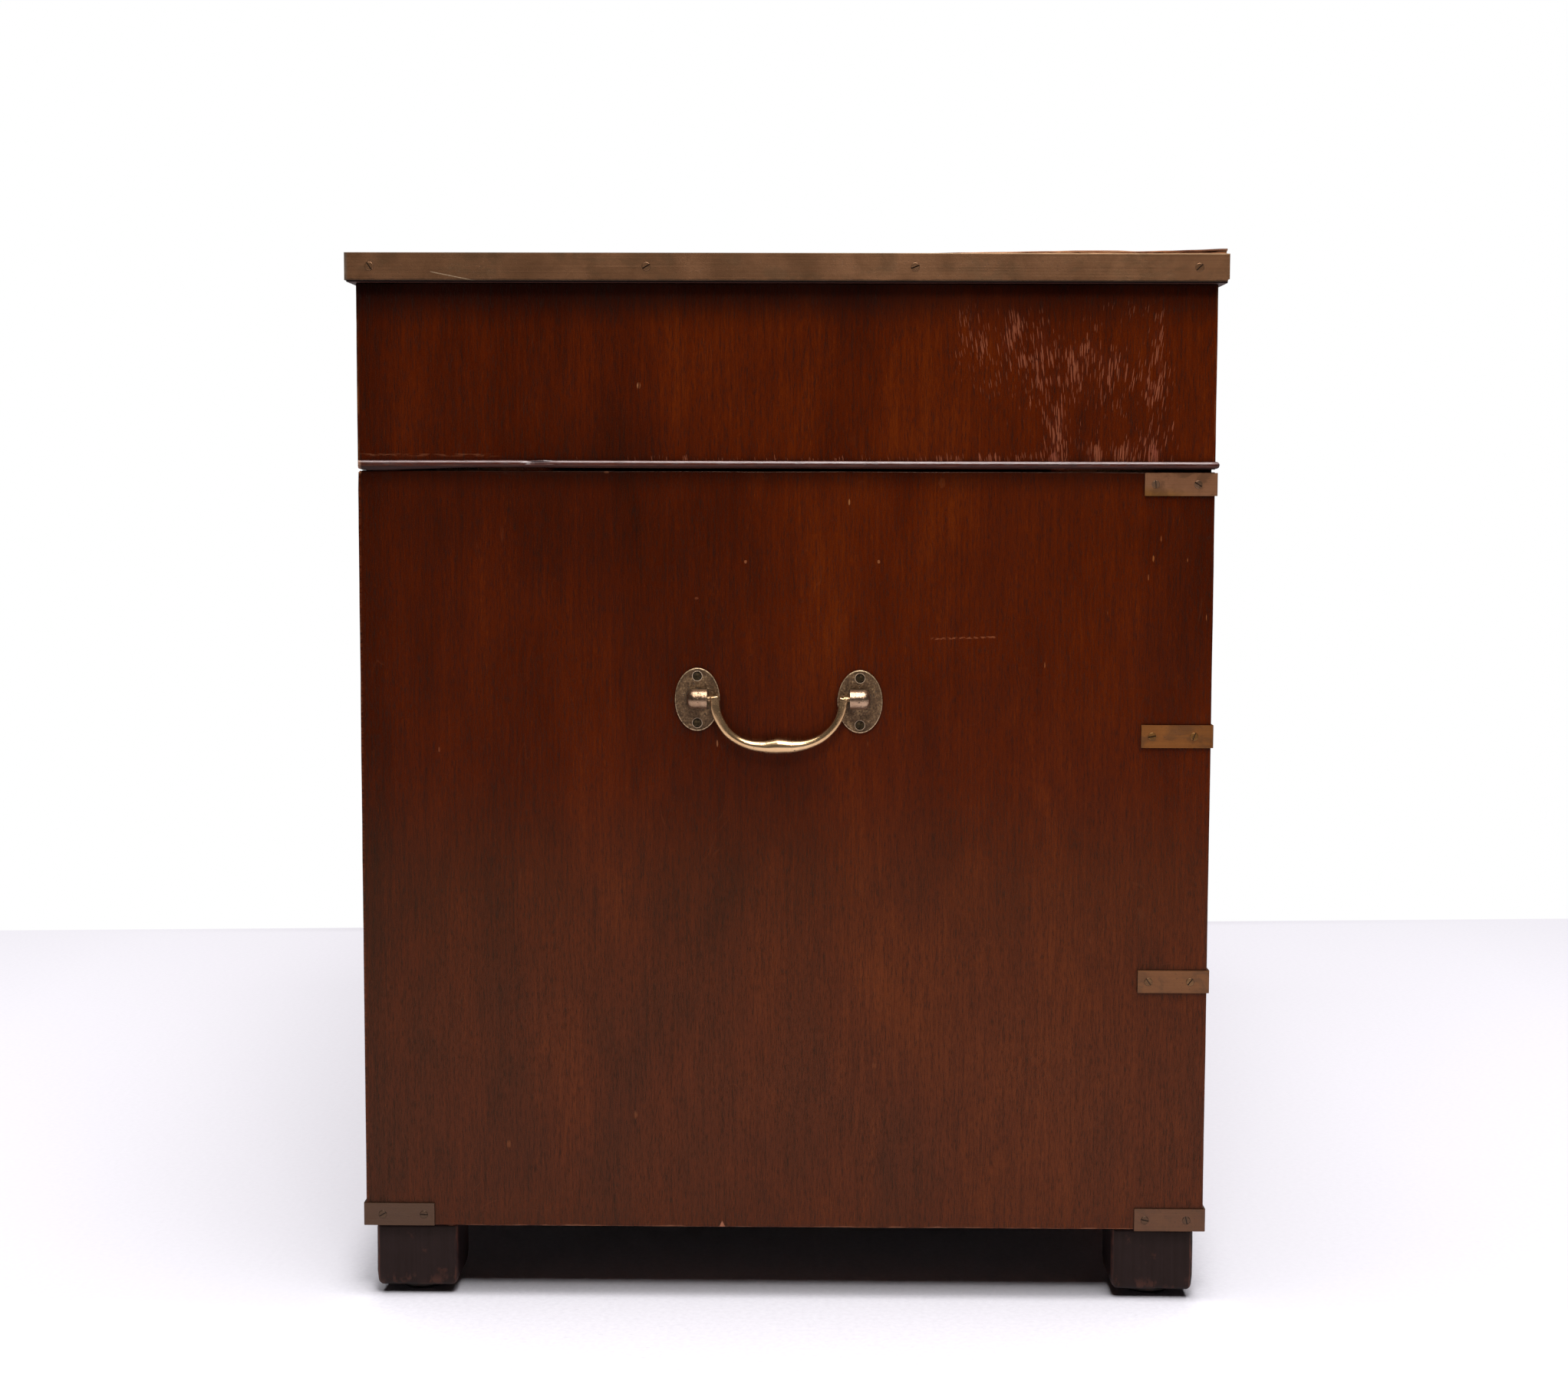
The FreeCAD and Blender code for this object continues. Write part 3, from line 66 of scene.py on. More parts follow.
# ---------------------------------------------------------------- node graphs
class Mat:
    """A material's node graph, written as expressions over the object's own coordinates, in metres."""

    def __init__(s, name):
        s.m = bpy.data.materials.new(name)
        s.m.use_nodes = True
        s.t = s.m.node_tree
        s.t.nodes.clear()
        s.out = s.t.nodes.new("ShaderNodeOutputMaterial")
        s.b = s.t.nodes.new("ShaderNodeBsdfPrincipled")
        s.t.links.new(s.b.outputs[0], s.out.inputs[0])
        s.P = s.add("ShaderNodeTexCoord").outputs["Object"]
        s._xyz = None

    def add(s, kind, **props):
        n = s.t.nodes.new(kind)
        for k, v in props.items():
            setattr(n, k, v)
        return n

    def put(s, socket, v):
        if isinstance(v, bpy.types.NodeSocket):
            s.t.links.new(v, socket)
        elif isinstance(v, tuple) and len(v) == 3 and socket.type == "RGBA":
            socket.default_value = (*v, 1.0)
        else:
            socket.default_value = v

    def xyz(s):
        if s._xyz is None:
            n = s.add("ShaderNodeSeparateXYZ")
            s.put(n.inputs[0], s.P)
            s._xyz = n.outputs
        return s._xyz

    def op(s, kind, a, b=0.0, c=None, clamp=False):
        n = s.add("ShaderNodeMath", operation=kind, use_clamp=clamp)
        s.put(n.inputs[0], a)
        s.put(n.inputs[1], b)
        if c is not None:
            s.put(n.inputs[2], c)
        return n.outputs[0]

    def mul(s, *v):
        r = v[0]
        for x in v[1:]:
            r = s.op("MULTIPLY", r, x)
        return r

    def sum(s, *v):
        r = v[0]
        for x in v[1:]:
            r = s.op("ADD", r, x)
        return r

    def step(s, v, a, b, lo=0.0, hi=1.0):
        """Smooth ramp of v from lo at a to hi at b."""
        n = s.add("ShaderNodeMapRange", interpolation_type="SMOOTHSTEP")
        s.put(n.inputs["Value"], v)
        if a < b:
            vals = (a, b, lo, hi)
        else:
            vals = (b, a, hi, lo)
        for k, x in zip(("From Min", "From Max", "To Min", "To Max"), vals):
            n.inputs[k].default_value = x
        return n.outputs["Result"]

    def band(s, v, a, b, soft):
        """1 between a and b, fading over soft outside."""
        return s.mul(s.step(v, a - soft, a), s.step(v, b + soft, b))

    def scaled(s, scale, loc=(0, 0, 0), rot=(0, 0, 0), vec=None):
        n = s.add("ShaderNodeMapping")
        s.put(n.inputs["Vector"], vec if vec is not None else s.P)
        n.inputs["Scale"].default_value = scale
        n.inputs["Location"].default_value = loc
        n.inputs["Rotation"].default_value = rot
        return n.outputs[0]

    def noise(s, scale, detail=3.0, rough=0.55, distort=0.0, loc=(0, 0, 0), rot=(0, 0, 0)):
        n = s.add("ShaderNodeTexNoise", noise_dimensions="3D")
        if not isinstance(scale, tuple):
            scale = (scale,) * 3
        s.put(n.inputs["Vector"], s.scaled(scale, loc, rot))
        n.inputs["Scale"].default_value = 1.0
        n.inputs["Detail"].default_value = detail
        n.inputs["Roughness"].default_value = rough
        n.inputs["Distortion"].default_value = distort
        return n.outputs[0]

    def cells(s, scale, loc=(0, 0, 0), feature="F1", rnd=1.0, out="Distance"):
        n = s.add("ShaderNodeTexVoronoi", voronoi_dimensions="3D", feature=feature)
        if not isinstance(scale, tuple):
            scale = (scale,) * 3
        s.put(n.inputs["Vector"], s.scaled(scale, loc))
        n.inputs["Scale"].default_value = 1.0
        n.inputs["Randomness"].default_value = rnd
        return n.outputs[out]

    def ramp(s, v, *stops):
        n = s.add("ShaderNodeValToRGB")
        e = n.color_ramp.elements
        while len(e) < len(stops):
            e.new(0.5)
        for i, (p, c) in enumerate(stops):
            e[i].position = p
            e[i].color = (*c, 1.0)
        s.put(n.inputs[0], v)
        return n.outputs[0]

    def mix(s, f, a, b, kind="MIX"):
        n = s.add("ShaderNodeMix", data_type="RGBA", blend_type=kind)
        s.put(n.inputs[0], f)
        s.put(n.inputs[6], a)
        s.put(n.inputs[7], b)
        return n.outputs[2]

    def mix_value(s, f, a, b):
        n = s.add("ShaderNodeMix", data_type="FLOAT")
        s.put(n.inputs[0], f)
        s.put(n.inputs[2], a)
        s.put(n.inputs[3], b)
        return n.outputs[0]

    def near(s, at, size, soft=0.5):
        """1 inside the ellipsoid of half sizes at the point, fading to 0 outside it."""
        n = s.add("ShaderNodeVectorMath", operation="LENGTH")
        loc = tuple(-a / r for a, r in zip(at, size))
        s.put(n.inputs[0], s.scaled(tuple(1 / r for r in size), loc))
        return s.step(n.outputs["Value"], 1.0, 1.0 - soft)

    # ambient occlusion: low where other surfaces close a point in; the materials use it to paint shade into crevices
    # and joints
    def crevice(s, dist, samples=4):
        n = s.add("ShaderNodeAmbientOcclusion", samples=samples)
        n.inputs["Distance"].default_value = dist
        return n.outputs["AO"]

    def bump(s, height, distance, strength=1.0, normal=None):
        n = s.add("ShaderNodeBump")
        n.inputs["Strength"].default_value = strength
        n.inputs["Distance"].default_value = distance
        s.put(n.inputs["Height"], height)
        if normal is not None:
            s.put(n.inputs["Normal"], normal)
        return n.outputs[0]

    def finish(s, color, rough, normal=None, metallic=0.0, **sockets):
        s.put(s.b.inputs["Base Color"], color)
        s.put(s.b.inputs["Roughness"], rough)
        s.put(s.b.inputs["Metallic"], metallic)
        if normal is not None:
            s.put(s.b.inputs["Normal"], normal)
        for k, v in sockets.items():
            s.put(s.b.inputs[k.replace("_", " ")], v)
        return s.m


def lin(r, g, b):
    """sRGB 0-255 to linear."""
    return tuple((c / 12.92 if c <= 0.04045 else ((c + 0.055) / 1.055) ** 2.4) for c in (r / 255, g / 255, b / 255))


def aniso(axis, across, along):
    """Scale of a texture drawn out along one axis."""
    return tuple(along if a == axis else across for a in "xyz")


# ---------------------------------------------------------------- wood
AMBER = (1.0, 0.80, 0.62, 1.0)  # old varnish warms what it mirrors
WOOD = 0.90  # the wood's own colour over the colour it has in the picture's light


def tone(r, g, b, k=WOOD):
    return tuple(min(0.9, c * k) for c in lin(r, g, b))


def mahogany(name, axis, seed, dark=1.0, gloss=0.27, worn=0.35, place=None, flame=1.0):
    s = Mat(name)
    o = (seed * 3.17, seed * 1.71, seed * 2.39)
    broad = s.noise(aniso(axis, 9.0, 2.4), 3.0, 0.5, 1.3, o)
    ribbon = s.noise(aniso(axis, 55.0, 4.6), 2.5, 0.55, 0.8, o)
    curl = s.noise(aniso(axis, 36.0, 15.0), 3.0, 0.6, 1.3, o)
    fibre = s.noise(aniso(axis, 520.0, 26.0), 3.0, 0.62, 0.3, o)
    fleck = s.noise(aniso(axis, 1650.0, 175.0), 2.0, 0.6, 0.0, o)
    f = s.sum(s.mul(s.op("SUBTRACT", broad, 0.5), 0.66 * flame), s.mul(s.op("SUBTRACT", ribbon, 0.5), 0.15), s.mul(s.op("SUBTRACT", curl, 0.5), 0.26), s.mul(s.op("SUBTRACT", fibre, 0.5), 0.50), s.mul(s.op("SUBTRACT", fleck, 0.5), 0.46), 0.5)
    if place is not None:
        f = s.sum(f, place(s))
    k = dark
    col = s.ramp(f, (0.12, tone(43 * k, 11 * k, 2 * k)), (0.40, tone(67 * k, 18.5 * k, 2 * k)), (0.62, tone(84 * k, 26 * k, 2 * k)), (0.92, tone(108 * k, 42 * k, 5 * k)))
    pores = s.step(s.sum(s.mul(fleck, 0.72), s.mul(fibre, 0.28)), 0.49, 0.34)
    col = s.mix(s.mul(pores, 0.50), col, tone(30 * k, 9 * k, 3 * k))
    pale = s.step(s.sum(s.mul(fleck, 0.6), s.mul(ribbon, 0.4)), 0.60, 0.74)
    col = s.mix(s.mul(pale, 0.34), col, tone(116 * k, 54 * k, 14 * k))
    # small dents and flecks where the polish is gone
    spots = s.cells(aniso(axis, 26.0, 13.0), o)
    rare = s.step(s.noise(9.0, 1.0, 0.5, 0.0, (seed, 4.0, seed)), 0.54, 0.60)
    frayed = s.sum(spots, s.mul(s.op("SUBTRACT", fibre, 0.5), 0.10))
    knock = s.mul(s.step(frayed, 0.045, 0.022), rare, worn)
    col = s.mix(knock, col, tone(150, 84, 46))
    # long faint hairline scratches
    hair = s.noise(aniso(axis, 19.0, 4.5), 1.0, 0.5, 2.2, (seed * 5.0, 1.0, 7.0))
    hair = s.mul(s.step(s.op("ABSOLUTE", s.op("SUBTRACT", hair, 0.5)), 0.0042, 0.0012), s.step(s.noise(30.0, 2.0, 0.6), 0.55, 0.66), 0.42 * worn)
    col = s.mix(hair, col, tone(128, 66, 36))
    # dust and fine wear in the polish: specks under a millimetre, paler and darker
    speck = s.noise(1250.0, 2.0, 0.6, 0.0, (seed, 2.0, 5.0))
    col = s.mix(s.step(speck, 0.53, 0.70, 0.0, 0.085), col, tone(122, 84, 56))
    col = s.mix(s.step(speck, 0.46, 0.30, 0.0, 0.34), col, tone(24 * k, 8 * k, 2 * k))
    # painted shade: the wood darkens where other surfaces lie within a centimetre, in joints, under the bead and behind
    # the handles
    ao = s.crevice(0.010)
    col = s.mix(s.step(ao, 0.35, 0.95, 0.75, 0.0), col, tone(20, 7, 4))
    cloud = s.noise(11.0, 3.0, 0.55, 0.3, (2.0, seed, 1.0))
    rough = s.sum(gloss - 0.06, s.mul(cloud, 0.13), s.mul(pores, 0.14), s.mul(knock, 0.2))
    h = s.sum(s.mul(fibre, 0.45), s.mul(pores, -0.8), s.mul(knock, -1.5), s.mul(hair, -0.6))
    n = s.bump(h, 0.00014, 0.8)
    n = s.bump(cloud, 0.0010, 0.25, n)
    return s, col, rough, n


def wood_mat(name, axis, seed, **k):
    s, col, rough, n = mahogany(name, axis, seed, **k)
    return s.finish(col, rough, n, Specular_IOR_Level=0.16, Specular_Tint=AMBER)


# broad tone over the end of the top section, partly the wood's own and partly painted light and shade: darker towards
# the back edge and low down near the back, lighter in the middle and towards the front
def frieze_tone_and_light(s):
    x, y, z = s.xyz()
    left = s.sum(s.step(y, 0.21, 0.30, 0.0, -0.03), s.step(y, 0.262, 0.285, 0.0, -0.13), s.mul(s.band(y, 0.130, 0.205, 0.030), -0.09))
    front = s.step(y, -0.165, -0.20, 0.0, 0.05)
    mid = s.mul(s.band(y, -0.085, 0.055, 0.05), 0.12)
    low = s.mul(s.near((-0.6, 0.10, 0.598), (0.9, 0.12, 0.052), 0.9), -0.13)
    return s.sum(left, front, mid, low)


# where the strokes gather on the left end: middle of the place (y, z), how far it reaches, how thick they stand
WORN = (
    (-0.128, 0.686, 0.024, 0.044, 0.80), (-0.152, 0.692, 0.026, 0.034, 0.55), (-0.167, 0.682, 0.024, 0.036, 0.85), (-0.182, 0.660, 0.021, 0.044, 0.80),
    (-0.189, 0.630, 0.018, 0.044, 0.70), (-0.150, 0.658, 0.034, 0.034, 0.40), (-0.206, 0.668, 0.028, 0.040, 0.75), (-0.218, 0.640, 0.026, 0.044, 0.50),
    (-0.234, 0.666, 0.017, 0.040, 0.65), (-0.254, 0.656, 0.016, 0.040, 0.85), (-0.259, 0.688, 0.013, 0.034, 0.70), (-0.264, 0.632, 0.022, 0.046, 0.55),
    (-0.228, 0.704, 0.060, 0.024, 0.50), (-0.200, 0.650, 0.110, 0.080, 0.42), (-0.187, 0.603, 0.018, 0.019, 1.15), (-0.208, 0.602, 0.028, 0.015, 0.90),
    (-0.255, 0.605, 0.028, 0.026, 1.20), (-0.236, 0.602, 0.038, 0.017, 0.85), (-0.150, 0.5995, 0.130, 0.0085, 1.05), (0.020, 0.5992, 0.200, 0.0055, 0.90),
)


def frieze_end_mat():
    """End of the top section, with the rubbed strokes through the polish above the bead."""
    s, col, rough, n = mahogany("mahogany_frieze_end", "z", 2.0, place=frieze_tone_and_light)
    x, y, z = s.xyz()
    on_left = s.step(x, -0.596, -0.5995)
    # upright strokes where the polish has worn through, in a loose patch towards the front
    # they lean with the hand that made them: one way at the back of the patch, the other at the front
    lean = s.step(y, -0.150, -0.262, 0.15, -0.13)
    comb = s.add("ShaderNodeCombineXYZ")
    s.put(comb.inputs[0], x)
    s.put(comb.inputs[1], s.op("SUBTRACT", y, s.mul(lean, s.op("SUBTRACT", z, 0.65))))
    s.put(comb.inputs[2], z)
    ragged = s.noise((900.0, 900.0, 150.0), 2.0, 0.6)
    fine = s.noise((700.0, 700.0, 80.0), 2.0, 0.55)
    dens = s.noise((60.0, 60.0, 34.0), 2.0, 0.5, 0.4, (4.1, 2.0, 0.6))
    amount = None
    for cy, cz, ry, rz, k in WORN:
        m = s.mul(s.near((-0.600, cy, cz), (0.05, ry, rz), 1.0), k)
        amount = m if amount is None else s.sum(amount, m)
    amount = s.op("MINIMUM", amount, 0.96)
    amount = s.mul(amount, s.step(y, -0.286, -0.272), s.step(z, 0.7165, 0.706), s.sum(0.72, s.mul(s.step(dens, 0.40, 0.60), 0.48)))
    hit = None
    for scale, off, gain in (((580.0, 580.0, 46.0), (0.7, 0.3, 0.2), 0.275), ((490.0, 490.0, 35.0), (3.1, 5.7, 2.9), 0.235), ((880.0, 880.0, 74.0), (8.1, 2.2, 6.4), 0.30)):
        v = s.add("ShaderNodeTexVoronoi", voronoi_dimensions="3D", feature="F1")
        s.put(v.inputs["Vector"], s.scaled(scale, off, vec=comb.outputs[0]))
        v.inputs["Scale"].default_value = 1.0
        v.inputs["Randomness"].default_value = 1.0
        size = s.sum(s.mul(amount, gain), s.mul(s.op("SUBTRACT", ragged, 0.5), 0.22))
        m = s.step(s.op("SUBTRACT", size, v.outputs["Distance"]), -0.02, 0.05)
        hit = m if hit is None else s.op("MAXIMUM", hit, m)
    hit = s.mul(hit, s.step(amount, 0.06, 0.25), on_left, s.step(fine, 0.30, 0.55, 0.45, 1.0))
    raw = s.ramp(dens, (0.35, tone(130, 66, 43)), (0.62, tone(148, 82, 54)))
    wash = s.mul(s.step(amount, 0.75, 1.35), on_left, s.step(ragged, 0.38, 0.60))
    col = s.mix(s.mul(wash, 0.30), col, tone(104, 48, 34))
    col = s.mix(s.mul(hit, 0.76), col, raw)
    # two rubbed-through places standing on the bead
    for cy, cz, ry, rz, k in ((-0.2555, 0.602, 0.0052, 0.0130, 0.7), (-0.187, 0.599, 0.0070, 0.0090, 0.55)):
        edge = s.noise((520.0, 520.0, 110.0), 2.0, 0.6, 0.0, (cy * 90, 0, 0))
        m = s.mul(s.near((-0.600, cy, cz), (0.004, ry, rz), 0.7), on_left)
        m = s.mul(s.step(s.sum(m, s.mul(edge, 0.9)), 0.86, 1.10), s.step(ragged, 0.40, 0.56))
        col = s.mix(s.mul(m, k), col, tone(132, 68, 50))
    # one small comma of bare wood further back
    m = s.mul(s.near((-0.600, 0.1024, 0.6504), (0.004, 0.0016, 0.0030), 0.7), s.step(fine, 0.36, 0.56), on_left)
    col = s.mix(s.mul(m, 0.8), col, tone(176, 120, 78))
    # thin rub along the bead at the back
    m = s.mul(s.band(y, 0.205, 0.292, 0.01), s.band(z, 0.6016, 0.6026, 0.0008), on_left, s.step(s.noise((300.0, 120.0, 600.0), 3.0, 0.6), 0.46, 0.60))
    col = s.mix(s.mul(m, 0.42), col, tone(128, 76, 50))
    rubbed = s.mul(s.step(s.op("ABSOLUTE", y), 0.2968, 0.2988), s.step(s.op("ABSOLUTE", x), 0.5972, 0.5990), s.step(s.noise((300.0, 300.0, 60.0), 3.0, 0.6, 0.0, (4.0, 4.0, 1.0)), 0.44, 0.62), 0.5)
    col = s.mix(rubbed, col, tone(140, 84, 48))
    # painted shadow under the overhang of the top, weaker towards the front
    overhang_shadow = s.mul(s.step(s.sum(z, s.mul(s.noise((30.0, 30.0, 8.0), 2.0), 0.010)), 0.6930, 0.7190, 0.0, 0.70), s.step(y, -0.02, -0.17, 1.0, 0.66))
    col = s.mix(overhang_shadow, col, tone(22, 9, 7))
    rough = s.sum(rough, s.mul(hit, 0.18))
    n2 = s.bump(hit, 0.00012, 0.7, n)
    return s.finish(col, rough, n2, Specular_IOR_Level=0.16, Specular_Tint=AMBER)


# broad tone over the end of the pedestal, partly the wood's own and partly painted light and shade: darker towards the
# back and front edges and high up under the bead, lighter in the middle and low down
def case_tone_and_light(s):
    x, y, z = s.xyz()
    left = s.sum(s.mul(s.step(y, 0.20, 0.31), -0.06), s.step(y, 0.268, 0.290, 0.0, -0.15), s.mul(s.near((-0.6, 0.10, 0.46), (0.9, 0.10, 0.10), 0.9), -0.04), s.mul(s.near((-0.6, 0.18, 0.31), (0.9, 0.08, 0.13), 0.9), 0.05))
    head = s.mul(s.near((-0.6, 0.15, 0.565), (0.9, 0.15, 0.085), 0.8), -0.15)
    front = s.sum(s.mul(s.band(y, -0.215, -0.190, 0.030), 0.05), s.mul(s.near((-0.6, -0.275, 0.52), (0.9, 0.07, 0.13), 0.9), -0.12))
    mid = s.sum(s.mul(s.near((-0.6, -0.05, 0.50), (0.9, 0.11, 0.10), 0.9), 0.02), s.mul(s.band(y, -0.13, 0.0, 0.06), 0.055))
    low = s.sum(s.mul(s.step(z, 0.36, 0.22), 0.07), s.mul(s.near((-0.6, -0.06, 0.12), (0.9, 0.08, 0.11), 0.9), -0.06))
    return s.sum(left, head, front, mid, low)


def case_mat():
    s, col, rough, n = mahogany("mahogany_case_end", "z", 5.0, place=case_tone_and_light)
    x, y, z = s.xyz()
    # the polish has gone browner towards the floor
    col = s.mix(s.step(z, 0.40, 0.28, 0.0, 0.045), col, tone(76, 102, 74))
    # short pale nicks: under the straps, and a few over the panel
    vec = s.noise((300.0, 300.0, 52.0), 2.0, 0.5, 0.2, (3.1, 0.0, 1.0))
    area = s.sum(s.mul(s.band(y, -0.262, -0.19, 0.05), s.band(z, 0.45, 0.585, 0.03)), s.mul(s.step(z, 0.5885, 0.5915), 0.6))
    hit = s.mul(s.step(s.sum(vec, s.mul(area, 0.045)), 0.795, 0.83), s.step(area, 0.0, 0.3, 0.25, 1.0))
    col = s.mix(s.mul(hit, 0.75), col, tone(158, 92, 50))
    for cy, cz, ry, rz, c in ((0.0476, 0.4004, 0.0010, 0.0036, (190, 126, 88)), (-0.0445, 0.5701, 0.0010, 0.0032, (190, 132, 84)), (0.0279, 0.5282, 0.0016, 0.0019, (176, 110, 74)), (-0.0652, 0.5285, 0.0016, 0.0019, (176, 112, 72)), (0.062, 0.5026, 0.0024, 0.0012, (130, 70, 44)), (-0.109, 0.5836, 0.0040, 0.0050, (120, 56, 22)), (-0.2568, 0.5311, 0.0010, 0.0034, (180, 112, 60)), (-0.2535, 0.5180, 0.0008, 0.0030, (160, 92, 52)), (-0.262, 0.5450, 0.0008, 0.0030, (160, 92, 52)), (0.125, 0.5905, 0.0030, 0.0012, (190, 120, 84)), (0.2438, 0.3953, 0.0009, 0.0026, (150, 84, 52))):
        torn = s.noise((900.0, 900.0, 260.0), 2.0, 0.6, 0.0, (cy * 50, 0, 0))
        m = s.step(s.sum(s.near((-0.600, cy, cz), (0.003, ry * 0.95, rz * 1.1), 0.9), s.mul(torn, 0.8)), 0.70, 0.92)
        m = s.mul(m, s.near((-0.600, cy, cz), (0.004, ry * 1.6, rz * 1.7), 0.6))
        col = s.mix(s.mul(m, 0.60), col, tone(c[0] * 0.90, c[1] * 0.86, c[2] * 0.80))
    # the lower edge is rubbed bare, with one chip
    edge = s.noise((400.0, 60.0, 400.0), 3.0, 0.6, 0.0, (2.0, 2.0, 5.0))
    m = s.step(s.sum(z, s.mul(s.op("SUBTRACT", edge, 0.5), -0.004)), 0.0536, 0.0529)
    col = s.mix(s.mul(m, s.step(edge, 0.40, 0.60, 0.35, 1.0), 0.58), col, tone(148, 94, 66))
    m = s.mul(s.step(s.sum(s.op("ABSOLUTE", s.op("SUBTRACT", y, 0.044)), s.mul(s.op("SUBTRACT", z, 0.0526), 0.5)), 0.0026, 0.0019), s.step(z, 0.0585, 0.0560), s.step(x, -0.597, -0.599))
    col = s.mix(s.mul(m, 0.85), col, tone(176, 112, 84))
    # shaded under the bead
    under = s.step(s.sum(z, s.mul(edge, 0.003)), 0.575, 0.593, 0.0, 0.55)
    col = s.mix(s.mul(under, s.step(s.op("ABSOLUTE", x), 0.597, 0.5995)), col, tone(26, 8, 4))
    # rubbed corner at the top of the back edge
    m = s.mul(s.near((-0.600, 0.2985, 0.5905), (0.006, 0.0026, 0.0030), 0.6), s.step(edge, 0.34, 0.52), 0.75)
    col = s.mix(m, col, tone(196, 136, 96))
    back = s.mul(s.step(y, 0.2965, 0.2988), s.step(s.op("ABSOLUTE", x), 0.5972, 0.5990), s.step(edge, 0.40, 0.60), 0.6)
    col = s.mix(back, col, tone(118, 60, 34))
    # faint slanting scratch
    d = s.sum(z, s.mul(y, 0.030), -0.4716)
    torn = s.noise((400.0, 400.0, 900.0), 2.0, 0.6, 0.0, (7.0, 7.0, 1.0))
    m = s.mul(s.step(s.op("ABSOLUTE", d), 0.0010, 0.0003), s.band(y, -0.146, -0.104, 0.003), s.step(x, -0.597, -0.5995), s.step(torn, 0.44, 0.56))
    col = s.mix(s.mul(m, 0.62), col, tone(146, 82, 50))
    return s.finish(col, rough, n, Specular_IOR_Level=0.16, Specular_Tint=AMBER)


def top_mat():
    """Top board: polished round the leather; painted shade on the underside, which is also left rough, and a darker
    painted shadow on the lip under the band.
    """
    s, col, rough, n = mahogany("mahogany_top", "x", 6.0, gloss=0.30, worn=0.8)
    x, y, z = s.xyz()
    # painted shade on the underside of the top
    under = s.step(z, 0.7232, 0.7222)
    col = s.mix(s.mul(under, 0.85), col, tone(58, 30, 22))
    # painted shadow on the lip just under the band
    lip = s.mul(under, s.step(z, 0.72105, 0.7212))
    col = s.mix(s.mul(lip, 0.95), col, tone(12, 6, 5))
    rough = s.mix_value(under, rough, 0.6)
    return s.finish(col, rough, n, Specular_IOR_Level=0.20)


def bead_mat():
    s, col, rough, n = mahogany("mahogany_bead", "y", 9.0, dark=0.84, gloss=0.30)
    x, y, z = s.xyz()
    rub = s.noise((60.0, 60.0, 500.0), 3.0, 0.6, 0.3, (1.0, 2.0, 3.0))
    top = s.step(z, 0.5956, 0.5976)
    # painted highlight mixed with wear: a pale lilac sheen over the upper half, broken by the rub noise
    col = s.mix(s.mul(s.step(rub, 0.36, 0.66), top, 0.38), col, tone(112, 76, 70))
    # painted highlight: a pale line along the upper third, where the round of the bead catches the lamp
    line = s.mul(s.band(z, 0.59715, 0.59790, 0.00050), s.step(rub, 0.30, 0.52, 0.62, 1.0))
    col = s.mix(s.mul(line, 0.80), col, tone(160, 138, 136))
    col = s.mix(s.mul(s.step(rub, 0.66, 0.76), top, 0.30), col, tone(140, 86, 60))
    low = s.noise((60.0, 60.0, 700.0), 2.0, 0.6, 0.0, (6.0, 2.0, 3.0))
    col = s.mix(s.mul(s.band(z, 0.5946, 0.5956, 0.0005), s.step(low, 0.50, 0.66), 0.34), col, tone(104, 62, 44))
    # painted shade on the underside of the bead
    col = s.mix(s.step(z, 0.5950, 0.5938, 0.0, 0.65), col, tone(20, 7, 4))
    # bare end at the back edge
    col = s.mix(s.mul(s.step(y, 0.2956, 0.2978), s.step(rub, 0.30, 0.50), 0.75), col, tone(158, 118, 94))
    # polished on top, dull below
    gleam = s.step(z, 0.5948, 0.5968)
    return s.finish(col, s.mix_value(gleam, 0.60, s.sum(rough, -0.05)), n, Specular_IOR_Level=0.28, Coat_Weight=s.mul(gleam, 0.30), Coat_Roughness=0.20)


def plain_wood(name, axis, seed, a, b, c, gloss=0.62, pore=0.5, under=False):
    """Secondary timber, planed and left dry."""
    s = Mat(name)
    o = (seed * 2.3, seed * 1.1, seed * 3.9)
    rings = s.noise(aniso(axis, 24.0, 1.3), 3.0, 0.5, 1.2, o)
    wave = s.op("SINE", s.mul(rings, 46.0))
    fibre = s.noise(aniso(axis, 520.0, 16.0), 3.0, 0.6, 0.1, o)
    f = s.sum(s.mul(wave, 0.16), s.mul(s.op("SUBTRACT", fibre, 0.5), 0.7), s.mul(s.op("SUBTRACT", rings, 0.5), 0.6), 0.5)
    col = s.ramp(f, (0.15, a), (0.5, b), (0.9, c))
    pores = s.step(s.noise(aniso(axis, 1400.0, 60.0), 2.0, 0.6, 0.0, o), 0.40, 0.30)
    col = s.mix(s.mul(pores, pore), col, tuple(x * 0.45 for x in a))
    dirt = s.noise(9.0, 4.0, 0.6, 0.4, o)
    col = s.mix(s.step(dirt, 0.50, 0.72, 0.0, 0.35), col, tuple(x * 0.5 for x in a))
    # painted shade: darker where other surfaces lie close
    ao = s.crevice(0.018)
    col = s.mix(s.step(ao, 0.35, 0.95, 0.6, 0.0), col, tuple(x * 0.25 for x in a))
    # painted shade on the lowest few millimetres, under the case
    if under:
        col = s.mix(s.step(s.xyz()[2], 0.0560, 0.0535), col, (0.020, 0.012, 0.009))
    n = s.bump(s.sum(fibre, s.mul(pores, -0.8)), 0.00022, 0.8)
    return s.finish(col, s.sum(gloss, s.mul(fibre, 0.12)), n, Specular_IOR_Level=0.3)


